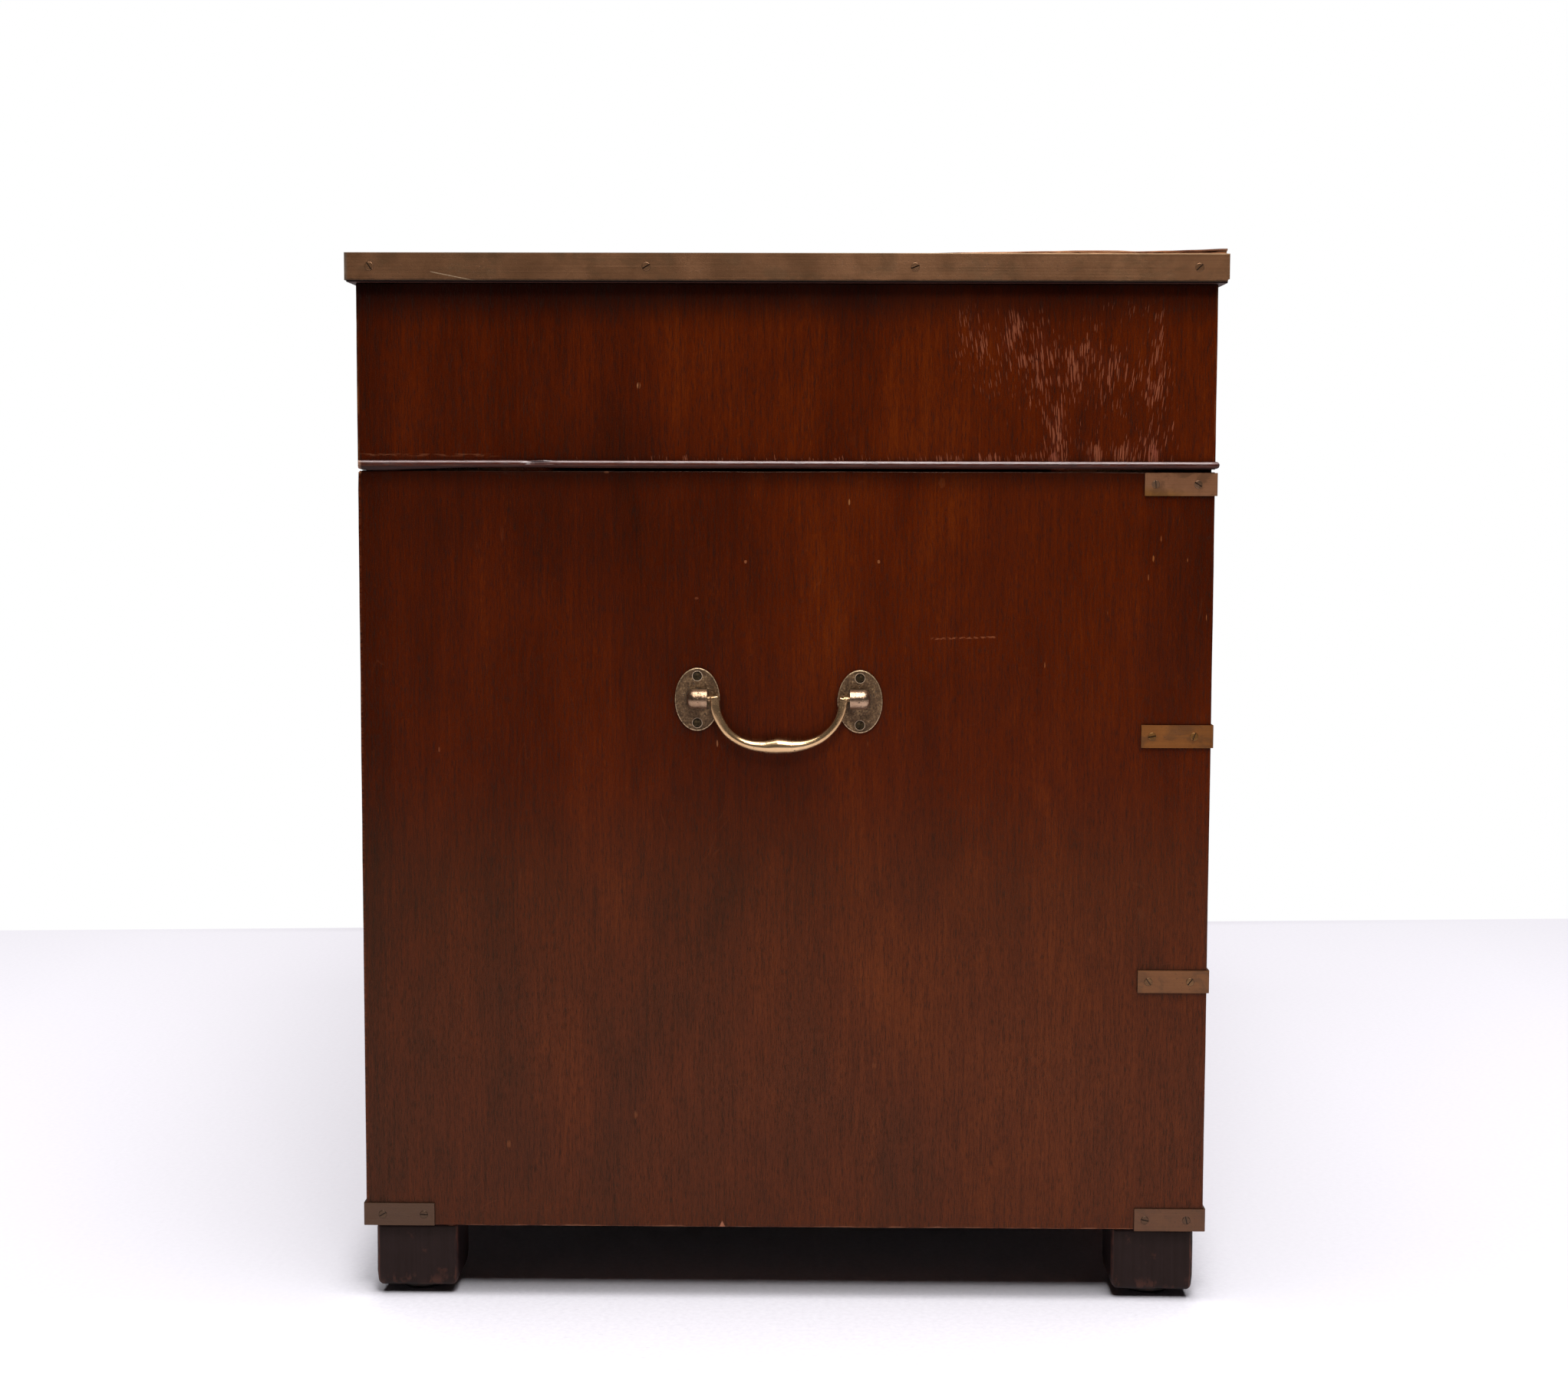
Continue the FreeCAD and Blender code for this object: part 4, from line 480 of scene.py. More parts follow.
# ---------------------------------------------------------------- brass
def brass(name, seed, c_dark, c_mid, c_light, brush=None, rough=0.38, metallic=1.0, tarnish=0.5, spots=0.5, extra=None, glow=None):
    s = Mat(name)
    o = (seed * 1.9, seed * 2.7, seed * 0.7)
    patch = s.noise(38.0, 4.0, 0.6, 0.5, o)
    wide = s.noise(9.0, 2.0, 0.5, 0.3, o)
    f = s.sum(s.mul(s.op("SUBTRACT", patch, 0.5), 0.9 * tarnish), s.mul(s.op("SUBTRACT", wide, 0.5), 1.1 * tarnish), 0.5)
    if brush is not None:
        lines = s.noise(brush, 4.0, 0.7, 0.0, o)
        f = s.sum(f, s.mul(s.op("SUBTRACT", lines, 0.5), 0.55))
    # glow shifts the tone: painted light on the band, handling wear on the bail
    if glow is not None:
        f = s.sum(f, glow(s))
    col = s.ramp(f, (0.10, c_dark), (0.50, c_mid), (0.90, c_light))
    grain = s.noise(850.0, 3.0, 0.6, 0.0, o)
    pit = s.mul(s.step(s.cells(330.0, o), 0.25, 0.12), s.step(patch, 0.46, 0.60), spots)
    col = s.mix(pit, col, tuple(x * 0.30 for x in c_dark))
    dust = s.step(grain, 0.56, 0.70)
    col = s.mix(s.mul(dust, 0.16 * tarnish), col, tuple(min(1, x * 1.35) for x in c_light))
    # grime and painted shade: darker, duller and less metallic where other surfaces lie within a few millimetres
    ao = s.crevice(0.0035)
    crevice_grime_and_shade = s.step(ao, 0.30, 0.93, 0.92, 0.0)
    col = s.mix(crevice_grime_and_shade, col, tuple(x * 0.14 for x in c_dark))
    metal = s.op("MULTIPLY", metallic, s.sum(1.0, s.mul(crevice_grime_and_shade, -0.7), s.mul(pit, -0.6)))
    r = s.sum(rough, s.mul(s.op("SUBTRACT", patch, 0.5), 0.25), s.mul(pit, 0.3), s.mul(crevice_grime_and_shade, 0.3))
    h = s.mul(grain, 0.4)
    if brush is not None:
        h = s.sum(h, s.mul(lines, 1.1))
        r = s.sum(r, s.mul(s.op("SUBTRACT", lines, 0.5), 0.12))
    h = s.sum(h, s.mul(pit, -1.4))
    n = s.bump(h, 0.00010, 0.75)
    n = s.bump(patch, 0.0007, 0.20, n)
    if extra is not None:
        col = extra(s, col)
    return s.finish(col, r, n, metal)


def band_extra(s, col):
    x, y, z = s.xyz()
    # fine slanting scratch near the back corner, a paler worn line on the upper edge towards the front
    d = s.sum(z, s.mul(y, -0.200), -0.6788)
    m = s.mul(s.step(s.op("ABSOLUTE", d), 0.00045, 0.00012), s.band(y, 0.214, 0.244, 0.002), s.step(x, -0.606, -0.6095))
    col = s.mix(s.mul(m, 0.7), col, lin(205, 175, 140))
    top = s.mul(s.step(z, 0.7402, 0.7407), s.step(y, 0.06, -0.20, 0.10, 1.0))
    col = s.mix(s.mul(top, 0.85), col, (0.95, 0.62, 0.34))
    stain = s.mul(s.step(s.noise((26.0, 26.0, 60.0), 3.0, 0.6, 0.6, (9.0, 1.0, 4.0)), 0.48, 0.64), s.step(s.noise((140.0, 140.0, 220.0), 3.0, 0.6), 0.34, 0.56))
    col = s.mix(s.mul(stain, 0.30), col, (0.100, 0.062, 0.028))
    lowest = s.mul(s.step(s.sum(z, s.mul(s.noise((160.0, 160.0, 20.0), 3.0, 0.6), 0.0016)), 0.7243, 0.7232), 0.75)
    col = s.mix(lowest, col, (0.050, 0.026, 0.014))
    back = s.step(y, 0.3022, 0.3042)
    col = s.mix(s.mul(back, 0.5), col, lin(120, 110, 96))
    return col


def band_front_light(s):
    # painted light: the band is lighter towards the front and darker towards the back
    y = s.xyz()[1]
    return s.step(y, 0.08, -0.14, -0.05, 0.09)


def leather_mat():
    s = Mat("leather_top")
    x, y, z = s.xyz()
    grain = s.cells((520.0, 520.0, 520.0), (0, 0, 0), "F1")
    pebble = s.noise(420.0, 3.0, 0.55)
    creases = s.cells((150.0, 150.0, 150.0), (3, 1, 2), "DISTANCE_TO_EDGE")
    wide = s.noise(7.0, 4.0, 0.6, 0.6)
    f = s.sum(s.mul(wide, 0.7), s.mul(pebble, 0.25))
    col = s.ramp(f, (0.25, (0.011, 0.026, 0.014)), (0.50, (0.017, 0.037, 0.019)), (0.80, (0.028, 0.052, 0.027)))
    col = s.mix(s.step(creases, 0.05, 0.0, 0.0, 0.45), col, (0.008, 0.014, 0.008))
    rub = s.mul(s.near((0.0, -0.20, 0.740), (0.30, 0.12, 0.05), 0.9), s.step(s.noise(16.0, 5.0, 0.65), 0.42, 0.62))
    col = s.mix(s.mul(rub, 0.16), col, (0.085, 0.105, 0.060))
    # tooled and gilt border: two rules with a running diamond between them, and a thin inner rule
    ex = s.op("SUBTRACT", 0.548, s.op("ABSOLUTE", x))
    ey = s.op("SUBTRACT", 0.243, s.op("ABSOLUTE", y))
    e = s.op("MINIMUM", ex, ey)

    def rule(at, half):
        return s.step(s.op("ABSOLUTE", s.op("SUBTRACT", e, at)), half + 0.00025, half - 0.0001)

    rules = s.op("MAXIMUM", s.op("MAXIMUM", rule(0.018, 0.0008), rule(0.034, 0.0008)), s.op("MAXIMUM", rule(0.0152, 0.0003), rule(0.0368, 0.0003)))
    rules = s.op("MAXIMUM", rules, rule(0.060, 0.0004))
    along = s.op("ADD", s.mul(s.op("LESS_THAN", ey, ex), x), s.mul(s.op("GREATER_THAN", ey, ex), y))
    t = s.op("PINGPONG", along, 0.0055)
    d = s.op("ABSOLUTE", s.op("SUBTRACT", s.op("ABSOLUTE", s.op("SUBTRACT", e, 0.026)), t))
    run = s.mul(s.step(d, 0.0010, 0.0005), s.band(e, 0.0205, 0.0315, 0.0002))
    dot = s.op("SQRT", s.sum(s.op("POWER", s.op("SUBTRACT", e, 0.026), 2.0), s.op("POWER", s.op("SUBTRACT", s.op("PINGPONG", s.sum(along, 0.00275), 0.0055), 0.0), 2.0)))
    run = s.op("MAXIMUM", run, s.step(dot, 0.0014, 0.0009))
    gilt = s.op("MAXIMUM", rules, run)
    kept = s.step(s.noise(60.0, 5.0, 0.7), 0.36, 0.50)
    gold = s.mul(gilt, kept)
    col = s.mix(gold, col, (0.62, 0.42, 0.13))
    h = s.sum(s.mul(grain, 0.35), s.mul(pebble, 0.5), s.mul(s.step(creases, 0.06, 0.0), -0.5), s.mul(gilt, -1.6))
    n = s.bump(h, 0.00025, 0.8)
    r = s.sum(0.46, s.mul(pebble, 0.12), s.mul(gold, -0.14), s.mul(rub, 0.05))
    return s.finish(col, r, n, s.mul(gold, 0.9), Specular_IOR_Level=0.25)


def foot_mat():
    s = Mat("foot_wood")
    fibre = s.noise((300.0, 300.0, 12.0), 3.0, 0.6, 0.3)
    wide = s.noise(26.0, 4.0, 0.6, 0.4)
    f = s.sum(s.mul(fibre, 0.5), s.mul(wide, 0.55))
    col = s.ramp(f, (0.30, tone(27, 15, 15)), (0.52, tone(36, 24, 25)), (0.80, tone(46, 33, 34)))
    worn = s.step(s.noise(70.0, 5.0, 0.65), 0.60, 0.72)
    col = s.mix(s.mul(worn, 0.5), col, tone(86, 50, 40))
    x, y, z = s.xyz()
    # the upright edges are rubbed to the red ground, and the top of one foot shows bare timber under its strap
    torn = s.noise((500.0, 500.0, 90.0), 3.0, 0.6, 0.0, (3.0, 1.0, 2.0))
    ay = s.op("ABSOLUTE", y)
    edges = s.op("MAXIMUM", s.band(ay, 0.2912, 0.2935, 0.0008), s.band(ay, 0.2340, 0.2362, 0.0008))
    edges = s.mul(edges, s.step(s.op("ABSOLUTE", x), 0.5895, 0.5925), s.step(torn, 0.38, 0.60))
    col = s.mix(s.mul(edges, 0.62), col, tone(104, 62, 50))
    bare = s.step(s.sum(s.near((-0.594, 0.2385, 0.0518), (0.006, 0.0085, 0.0024), 0.9), s.mul(torn, 0.7)), 0.72, 0.95)
    col = s.mix(s.mul(bare, s.near((-0.594, 0.2385, 0.0518), (0.008, 0.012, 0.0040), 0.5)), col, tone(176, 118, 88))
    patchy = s.noise((95.0, 95.0, 60.0), 3.0, 0.6, 0.3, (5.0, 2.0, 8.0))
    toe = s.mul(s.step(z, 0.0175, 0.0095), s.step(s.sum(s.mul(patchy, 0.75), s.mul(torn, 0.25)), 0.50, 0.60))
    col = s.mix(s.mul(toe, 0.55), col, tone(92, 56, 46))
    low = s.step(z, 0.013, 0.0065)
    col = s.mix(s.mul(low, s.step(wide, 0.46, 0.60), 0.4), col, tone(96, 62, 50))
    # painted shade: darker where other surfaces lie close
    ao = s.crevice(0.010)
    col = s.mix(s.step(ao, 0.35, 0.95, 0.7, 0.0), col, tone(12, 8, 8))
    n = s.bump(s.sum(fibre, s.mul(worn, -0.5)), 0.0003, 0.8)
    return s.finish(col, s.sum(0.36, s.mul(wide, 0.2)), n, Specular_IOR_Level=0.16, Specular_Tint=AMBER)


def bail_glow(s):
    # handling keeps the grip bright; the arms near the plates are dull
    z = s.xyz()[2]
    return s.step(z, 0.405, 0.432, 0.05, -0.12)


def plate_brass():
    """Back plates: dull olive brown, speckled, with bright worn rims and the hoods polished by the bail."""
    s = Mat("brass_plate")
    x, y, z = s.xyz()
    speck = s.noise(620.0, 4.0, 0.7)
    patch = s.noise(95.0, 4.0, 0.6, 0.6)
    f = s.sum(s.mul(s.op("SUBTRACT", speck, 0.5), 1.5), s.mul(s.op("SUBTRACT", patch, 0.5), 1.3), 0.5)
    col = s.ramp(f, (0.05, (0.036, 0.020, 0.010)), (0.35, (0.105, 0.057, 0.027)), (0.60, (0.190, 0.108, 0.052)), (0.88, (0.42, 0.26, 0.125)))
    ax = s.op("ABSOLUTE", x)
    proud = s.step(ax, 0.6022, 0.6050)
    hood = s.ramp(s.sum(s.mul(patch, 0.6), s.mul(speck, 0.4)), (0.30, (0.21, 0.120, 0.070)), (0.55, (0.39, 0.250, 0.160)), (0.80, (0.58, 0.40, 0.275)))
    hood = s.mix(s.step(y, -0.01, 0.01, 0.0, 0.34), hood, (0.150, 0.082, 0.036))
    col = s.mix(proud, col, hood)
    pit = s.mul(s.step(s.cells(420.0), 0.27, 0.14), s.step(patch, 0.42, 0.58))
    col = s.mix(s.mul(pit, 0.8), col, (0.022, 0.016, 0.010))
    # grime and painted shade: darker and less metallic where other surfaces lie close
    ao = s.crevice(0.003)
    crevice_grime_and_shade = s.step(ao, 0.30, 0.92, 0.9, 0.0)
    col = s.mix(crevice_grime_and_shade, col, (0.016, 0.012, 0.008))
    # worn rim: distance from the edge of the two ovals
    rim = None
    for cy, cz in ((0.0616, 0.4316), (-0.0526, 0.4303)):
        d = s.op("SQRT", s.sum(s.op("POWER", s.mul(s.op("SUBTRACT", y, cy), 1 / 0.0158), 2.0), s.op("POWER", s.mul(s.op("SUBTRACT", z, cz), 1 / 0.0222), 2.0)))
        m = s.step(s.op("ABSOLUTE", s.op("SUBTRACT", d, 0.985)), 0.030, 0.012)
        rim = m if rim is None else s.op("MAXIMUM", rim, m)
    worn = s.mul(rim, s.step(speck, 0.36, 0.52), s.step(ax, 0.6035, 0.6025))
    col = s.mix(s.mul(worn, 0.75), col, (0.60, 0.42, 0.24))
    metal = s.sum(s.mix_value(proud, 0.62, 0.92), s.mul(crevice_grime_and_shade, -0.4), s.mul(pit, -0.4))
    rough = s.sum(s.mix_value(proud, 0.40, 0.30), s.mul(s.op("SUBTRACT", speck, 0.5), 0.25), s.mul(pit, 0.2))
    n = s.bump(s.sum(speck, s.mul(pit, -1.5)), 0.00016, 0.8)
    n = s.bump(patch, 0.0008, 0.35, n)
    return s.finish(col, rough, n, metal)


def iron_mat():
    s = Mat("glide_iron")
    rust = s.noise(160.0, 5.0, 0.65)
    col = s.ramp(rust, (0.3, (0.030, 0.027, 0.026)), (0.55, (0.060, 0.050, 0.045)), (0.75, (0.13, 0.055, 0.03)))
    n = s.bump(rust, 0.0004, 0.7)
    return s.finish(col, s.sum(0.45, s.mul(rust, 0.3)), n, 0.7)


def veneer_mat():
    """Polished on top, raw and tan on the underside and the torn edge."""
    s, col, rough, n = mahogany("lifted_veneer", "x", 6.0, gloss=0.30)
    g = s.add("ShaderNodeNewGeometry")
    sep = s.add("ShaderNodeSeparateXYZ")
    s.put(sep.inputs[0], g.outputs["True Normal"])
    up = s.step(sep.outputs[2], 0.45, 0.75)
    f = s.noise((700.0, 30.0, 900.0), 3.0, 0.6)
    raw = s.ramp(f, (0.30, (0.16, 0.055, 0.030)), (0.48, (0.42, 0.19, 0.10)), (0.62, (0.66, 0.36, 0.20)))
    dark = s.step(s.noise((60.0, 18.0, 500.0), 3.0, 0.6), 0.48, 0.62)
    raw = s.mix(s.mul(dark, 0.8), raw, (0.10, 0.035, 0.022))
    above = s.op("SUBTRACT", s.xyz()[2], 0.741)
    skin = s.step(s.sum(above, s.mul(s.noise((200.0, 50.0, 50.0), 2.0), 0.0006)), 0.0016, 0.0026)
    raw = s.mix(s.mul(skin, 0.55), raw, (0.06, 0.024, 0.016))
    col = s.mix(up, raw, col)
    return s.finish(col, s.mix_value(up, 0.75, rough), n, Specular_IOR_Level=0.25)


def raw_mat():
    s = Mat("raw_wood")
    f = s.noise((500.0, 24.0, 900.0), 3.0, 0.65)
    col = s.ramp(f, (0.30, (0.20, 0.070, 0.035)), (0.48, (0.50, 0.24, 0.13)), (0.64, (0.80, 0.50, 0.30)))
    n = s.bump(f, 0.0003, 0.8)
    return s.finish(col, s.sum(0.7, s.mul(f, 0.1)), n, Specular_IOR_Level=0.2)


C = {}
C["mahogany_case"] = case_mat()
C["mahogany_frieze"] = frieze_end_mat()
C["mahogany_back"] = wood_mat("mahogany_back", "x", 3.0, worn=0.5)
C["mahogany_rail"] = wood_mat("mahogany_rail", "x", 4.0)
C["mahogany_top"] = top_mat()
C["mahogany_drawer"] = wood_mat("mahogany_drawer", "x", 8.0, gloss=0.30, flame=1.3)
C["mahogany_bead"] = bead_mat()
C["carcase_wood"] = plain_wood("carcase_wood", "x", 1.0, (0.20, 0.105, 0.05), (0.30, 0.17, 0.085), (0.40, 0.25, 0.13), under=True)
C["drawer_lining"] = plain_wood("drawer_lining", "y", 2.0, (0.24, 0.13, 0.06), (0.36, 0.21, 0.11), (0.46, 0.29, 0.16))
C["foot_wood"] = foot_mat()
C["glide_iron"] = iron_mat()
C["leather_top"] = leather_mat()
C["veneer"] = veneer_mat()
C["raw_wood"] = raw_mat()
BR = (4.0, 4.0, 1500.0)


def strap_extra(s, col):
    """The straps are painted darker towards the floor and paler at the top, painted shade and light by height; the
    second one down is the most golden, and so is the lower part of the top one.
    """
    x, y, z = s.xyz()
    # painted light and shade by height: the brass is multiplied darker near the floor and paler near the top
    height_light_and_shade = s.ramp(z, (0.06, (0.46, 0.44, 0.48)), (0.10, (0.46, 0.44, 0.48)), (0.20, (0.78, 0.72, 0.62)), (0.30, (0.80, 0.74, 0.64)), (0.37, (1.06, 0.86, 0.42)), (0.45, (1.06, 0.86, 0.42)), (0.52, (1.22, 1.26, 1.50)), (0.60, (1.22, 1.26, 1.50)))
    m = s.add("ShaderNodeMix", data_type="RGBA", blend_type="MULTIPLY")
    m.inputs["Factor"].default_value = 1.0
    s.put(m.inputs["A"], col)
    s.put(m.inputs["B"], height_light_and_shade)
    col = m.outputs["Result"]
    rear = s.mul(s.step(y, 0.15, 0.22), s.step(z, 0.12, 0.08))
    col = s.mix(s.mul(rear, 0.52), col, (0.05, 0.030, 0.017))
    low = s.mul(s.step(s.sum(z, s.mul(y, -0.10)), 0.6085, 0.6005), s.step(z, 0.50, 0.55), s.step(y, -0.299, -0.262))
    col = s.mix(s.mul(low, 0.80), col, (0.33, 0.135, 0.022))
    blot = s.mul(s.step(s.noise((70.0, 70.0, 110.0), 3.0, 0.6, 0.6, (3.0, 8.0, 1.0)), 0.46, 0.64), 0.45)
    return s.mix(blot, col, (0.075, 0.036, 0.016))


C["brass_band"] = brass("brass_band", 1.0, (0.125, 0.057, 0.024), (0.205, 0.091, 0.038), (0.305, 0.142, 0.062), brush=BR, rough=0.40, metallic=0.60, tarnish=0.60, spots=0.3, extra=band_extra, glow=band_front_light)
C["brass_band_screw"] = brass("brass_band_screw", 2.0, (0.11, 0.054, 0.025), (0.20, 0.095, 0.042), (0.34, 0.18, 0.085), rough=0.38, metallic=0.7)
C["brass_strap"] = brass("brass_strap", 3.0, (0.155, 0.066, 0.026), (0.245, 0.104, 0.040), (0.36, 0.165, 0.062), brush=BR, rough=0.36, metallic=0.55, spots=0.3, extra=strap_extra)
C["brass_strap_screw"] = brass("brass_strap_screw", 4.0, (0.10, 0.052, 0.025), (0.20, 0.105, 0.048), (0.36, 0.20, 0.095), rough=0.36, metallic=0.7, extra=strap_extra)
C["brass_handle"] = plate_brass()
C["brass_bail"] = brass("brass_bail", 7.0, (0.29, 0.168, 0.080), (0.56, 0.345, 0.172), (0.79, 0.545, 0.31), rough=0.25, metallic=0.88, spots=0.9, glow=bail_glow)
# painted highlight: pale, half-metallic brass for the rims round the handle screws
C["screw_rim_highlight"] = brass("screw_rim_highlight", 12.0, (0.36, 0.24, 0.14), (0.60, 0.42, 0.27), (0.84, 0.62, 0.42), rough=0.30, metallic=0.35, spots=0.2)
C["dark_screw"] = brass("dark_screw", 11.0, (0.035, 0.024, 0.012), (0.075, 0.050, 0.024), (0.16, 0.11, 0.055), rough=0.40)
C["brass_pull"] = brass("brass_pull", 6.0, (0.22, 0.13, 0.055), (0.42, 0.245, 0.095), (0.62, 0.39, 0.16), rough=0.32, spots=0.5)

def divider_mat():
    """Dividers of the top section: dry timber inside, a mahogany facing on the front edge."""
    s, col, rough, n = mahogany("divider_faced", "z", 14.0)
    x, y, z = s.xyz()
    fibre = s.noise((520.0, 16.0, 520.0), 3.0, 0.6, 0.1, (2.0, 1.0, 4.0))
    rings = s.noise((24.0, 1.3, 24.0), 3.0, 0.5, 1.2, (1.0, 7.0, 2.0))
    dry = s.ramp(s.sum(s.mul(s.op("SINE", s.mul(rings, 46.0)), 0.16), s.mul(fibre, 0.6), 0.2), (0.15, (0.20, 0.105, 0.05)), (0.5, (0.30, 0.17, 0.085)), (0.9, (0.40, 0.25, 0.13)))
    inside = s.step(y, -0.2905, -0.2895)
    col = s.mix(inside, col, dry)
    return s.finish(col, s.mix_value(inside, rough, 0.65), n, Specular_IOR_Level=0.16, Specular_Tint=AMBER)


C["divider"] = divider_mat()

NODE_SLOT = {
    "pedestal_sides": "mahogany_case", "pedestal_backs": "mahogany_back", "frieze_back": "mahogany_back",
    "pedestal_tops_and_bottoms": "carcase_wood", "pedestal_rails": "mahogany_rail", "frieze_rails": "mahogany_rail",
    "pedestal_drawer_runners": "carcase_wood", "block_feet": "foot_wood", "foot_glides": "glide_iron",
    "corner_straps": "brass_strap", "strap_screws": "brass_strap_screw", "locating_dowels": "carcase_wood",
    "carry_handle_plates": "brass_handle", "carry_handle_screws": "brass_handle",
    "carry_handle_bail_left": "brass_handle", "carry_handle_bail_right": "brass_handle",
    "frieze_ends": "mahogany_frieze", "frieze_dividers_and_runners": "divider", "bead_moulding": "mahogany_bead",
    "top_board": "mahogany_top", "leather_inset": "leather_top", "edge_band": "brass_band", "edge_band_screws": "brass_band_screw",
}
BEVEL = {"pedestal_sides": 0.9, "pedestal_backs": 0.6, "frieze_back": 0.6, "pedestal_rails": 0.7, "frieze_rails": 0.7, "block_feet": 1.6,
         "corner_straps": 0.28, "strap_screws": 0.15, "carry_handle_plates": 0.30, "carry_handle_screws": 0.15, "frieze_ends": 0.9,
         "edge_band": 0.30, "edge_band_screws": 0.15, "leather_inset": 0.3, "top_board": 0.6}

for name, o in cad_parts.items():
    if name.endswith("_front"):
        key, bev = "mahogany_drawer", 0.35
    elif name.endswith("_box"):
        key, bev = "drawer_lining", 0.5
    elif name.endswith("_pull_plate") or name.endswith("_pull_bail"):
        key, bev = "brass_pull", 0.25
    else:
        key, bev = NODE_SLOT[name], BEVEL.get(name)
    if not o.material_slots:
        o.data.materials.append(C[key])
    for ms in o.material_slots:
        ms.material = C[key]
    if bev:
        m = o.modifiers.new("edge", "BEVEL")
        m.width = bev * MM
        m.segments = 2
        m.limit_method = "ANGLE"
        m.angle_limit = math.radians(40)
        m.use_clamp_overlap = True


# ---------------------------------------------------------------- meshes
def wob(x, y, z, f, seed=0.0):
    """Smooth noise from -1 to 1 at a point in mm, f waves to the metre."""
    k = f * MM
    return mnoise.noise(Vector((x * k + seed * 7.13, y * k + seed * 3.7, z * k - seed * 5.1)))


def smooth(a, b, v):
    u = max(0.0, min(1.0, (v - a) / (b - a)))
    return u * u * (3 - 2 * u)


def piece(name, bm, mat, body, stands_for=(), sharp=34.0):
    """A mesh built in mm in the row frame becomes a piece in metres on its body."""
    bmesh.ops.scale(bm, vec=(MM, MM, MM), verts=bm.verts)
    bmesh.ops.recalc_face_normals(bm, faces=bm.faces)
    bm.normal_update()
    for f in bm.faces:
        f.smooth = True
    lim = math.radians(sharp)
    for e in bm.edges:
        if len(e.link_faces) == 2 and e.calc_face_angle(0.0) > lim:
            e.smooth = False
    me = bpy.data.meshes.new(name)
    bm.to_mesh(me)
    bm.free()
    me.materials.append(mat)
    ob = bpy.data.objects.new(name, me)
    scene.collection.objects.link(ob)
    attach(ob, body)
    if stands_for:
        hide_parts(*stands_for)
    return ob


def spline(stations, n):
    """Catmull-Rom through rows of numbers, n steps to each span."""
    out = []
    m = len(stations)
    for i in range(m - 1):
        p0, p1, p2, p3 = stations[max(i - 1, 0)], stations[i], stations[i + 1], stations[min(i + 2, m - 1)]
        for k in range(n):
            u = k / n
            out.append([0.5 * (2 * b + (c - a) * u + (2 * a - 5 * b + 4 * c - d) * u * u + (3 * b - a - 3 * c + d) * u ** 3) for a, b, c, d in zip(p0, p1, p2, p3)])
    out.append(list(stations[-1]))
    return out


def skin(bm, rings, closed=True, caps=True):
    """Faces between rings of vertices, with closed ends."""
    vr = [[bm.verts.new(v) for v in ring] for ring in rings]
    n = len(vr[0])
    for a, b in zip(vr, vr[1:]):
        for i in range(n if closed else n - 1):
            j = (i + 1) % n
            bm.faces.new((a[i], a[j], b[j], b[i]))
    if caps:
        bm.faces.new(vr[0][::-1])
        bm.faces.new(vr[-1])
    return vr


def turned(bm, base, axis, profile, n=24, jitter=0.0, seed=0.0):
    """A lathe piece: profile rows of (distance along the axis, radius)."""
    ax = Vector(axis).normalized()
    u = ax.orthogonal().normalized()
    v = ax.cross(u)
    b = Vector(base)
    rings = []
    for d, rad in profile:
        ring = []
        for i in range(n):
            a = 2 * math.pi * i / n
            q = b + ax * d + (u * math.cos(a) + v * math.sin(a)) * rad
            if jitter:
                q += ax * jitter * wob(q.x, q.y, q.z, 160, seed)
            ring.append(q)
        rings.append(ring)
    return skin(bm, rings)


def axis_cuts(lo, hi, r, cell):
    near = [0, 0.12 * r, 0.38 * r, 0.68 * r, r]
    n = max(1, round((hi - lo - 2 * r) / cell))
    mid = [lo + r + (hi - lo - 2 * r) * i / n for i in range(1, n)]
    return [lo + d for d in near] + mid + [hi - d for d in reversed(near)]


def worn_board(bm, lo, hi, r, cell=(14.0, 14.0, 14.0), wear=1.0, seed=0.0, shape=None, flat=0.10):
    """A board with all its edges softened by use: the radius wanders along each edge, and shape may move points further."""
    cuts = [axis_cuts(lo[i], hi[i], min(r, (hi[i] - lo[i]) * 0.45), cell[i]) for i in range(3)]
    nx, ny, nz = (len(c) for c in cuts)
    made = {}

    def vert(i, j, k):
        key = (i, j, k)
        if key not in made:
            p = Vector((cuts[0][i], cuts[1][j], cuts[2][k]))
            rr = r * max(0.35, 1.0 + wear * (0.9 * wob(p.x, p.y, p.z, 22, seed) + 0.55 * wob(p.x, p.y, p.z, 75, seed + 3)))
            rr = min(rr, 2.2 * r)
            q = Vector(tuple(min(max(p[a], lo[a] + rr), hi[a] - rr) for a in range(3)))
            d = p - q
            if d.length > rr:
                p = q + d.normalized() * rr
            else:
                m = max(abs(c) for c in d)
                if 0 < m < rr and d.length > 0 and sum(abs(c) > 1e-6 for c in d) > 1:
                    p = q + d
            n = Vector((0.0, 0.0, 0.0))
            for a, idx, cnt in ((0, i, nx), (1, j, ny), (2, k, nz)):
                if idx == 0:
                    n[a] = -1
                elif idx == cnt - 1:
                    n[a] = 1
            p -= n * flat * max(0.0, wob(p.x, p.y, p.z, 9, seed + 9))
            if shape is not None:
                p = shape(p)
            made[key] = bm.verts.new(p)
        return made[key]

    def sheet(fn, na, nb):
        for a in range(na - 1):
            for b in range(nb - 1):
                bm.faces.new((fn(a, b), fn(a + 1, b), fn(a + 1, b + 1), fn(a, b + 1)))

    for k in (0, nz - 1):
        sheet(lambda a, b: vert(a, b, k), nx, ny)
    for j in (0, ny - 1):
        sheet(lambda a, b: vert(a, j, b), nx, nz)
    for i in (0, nx - 1):
        sheet(lambda a, b: vert(i, a, b), ny, nz)


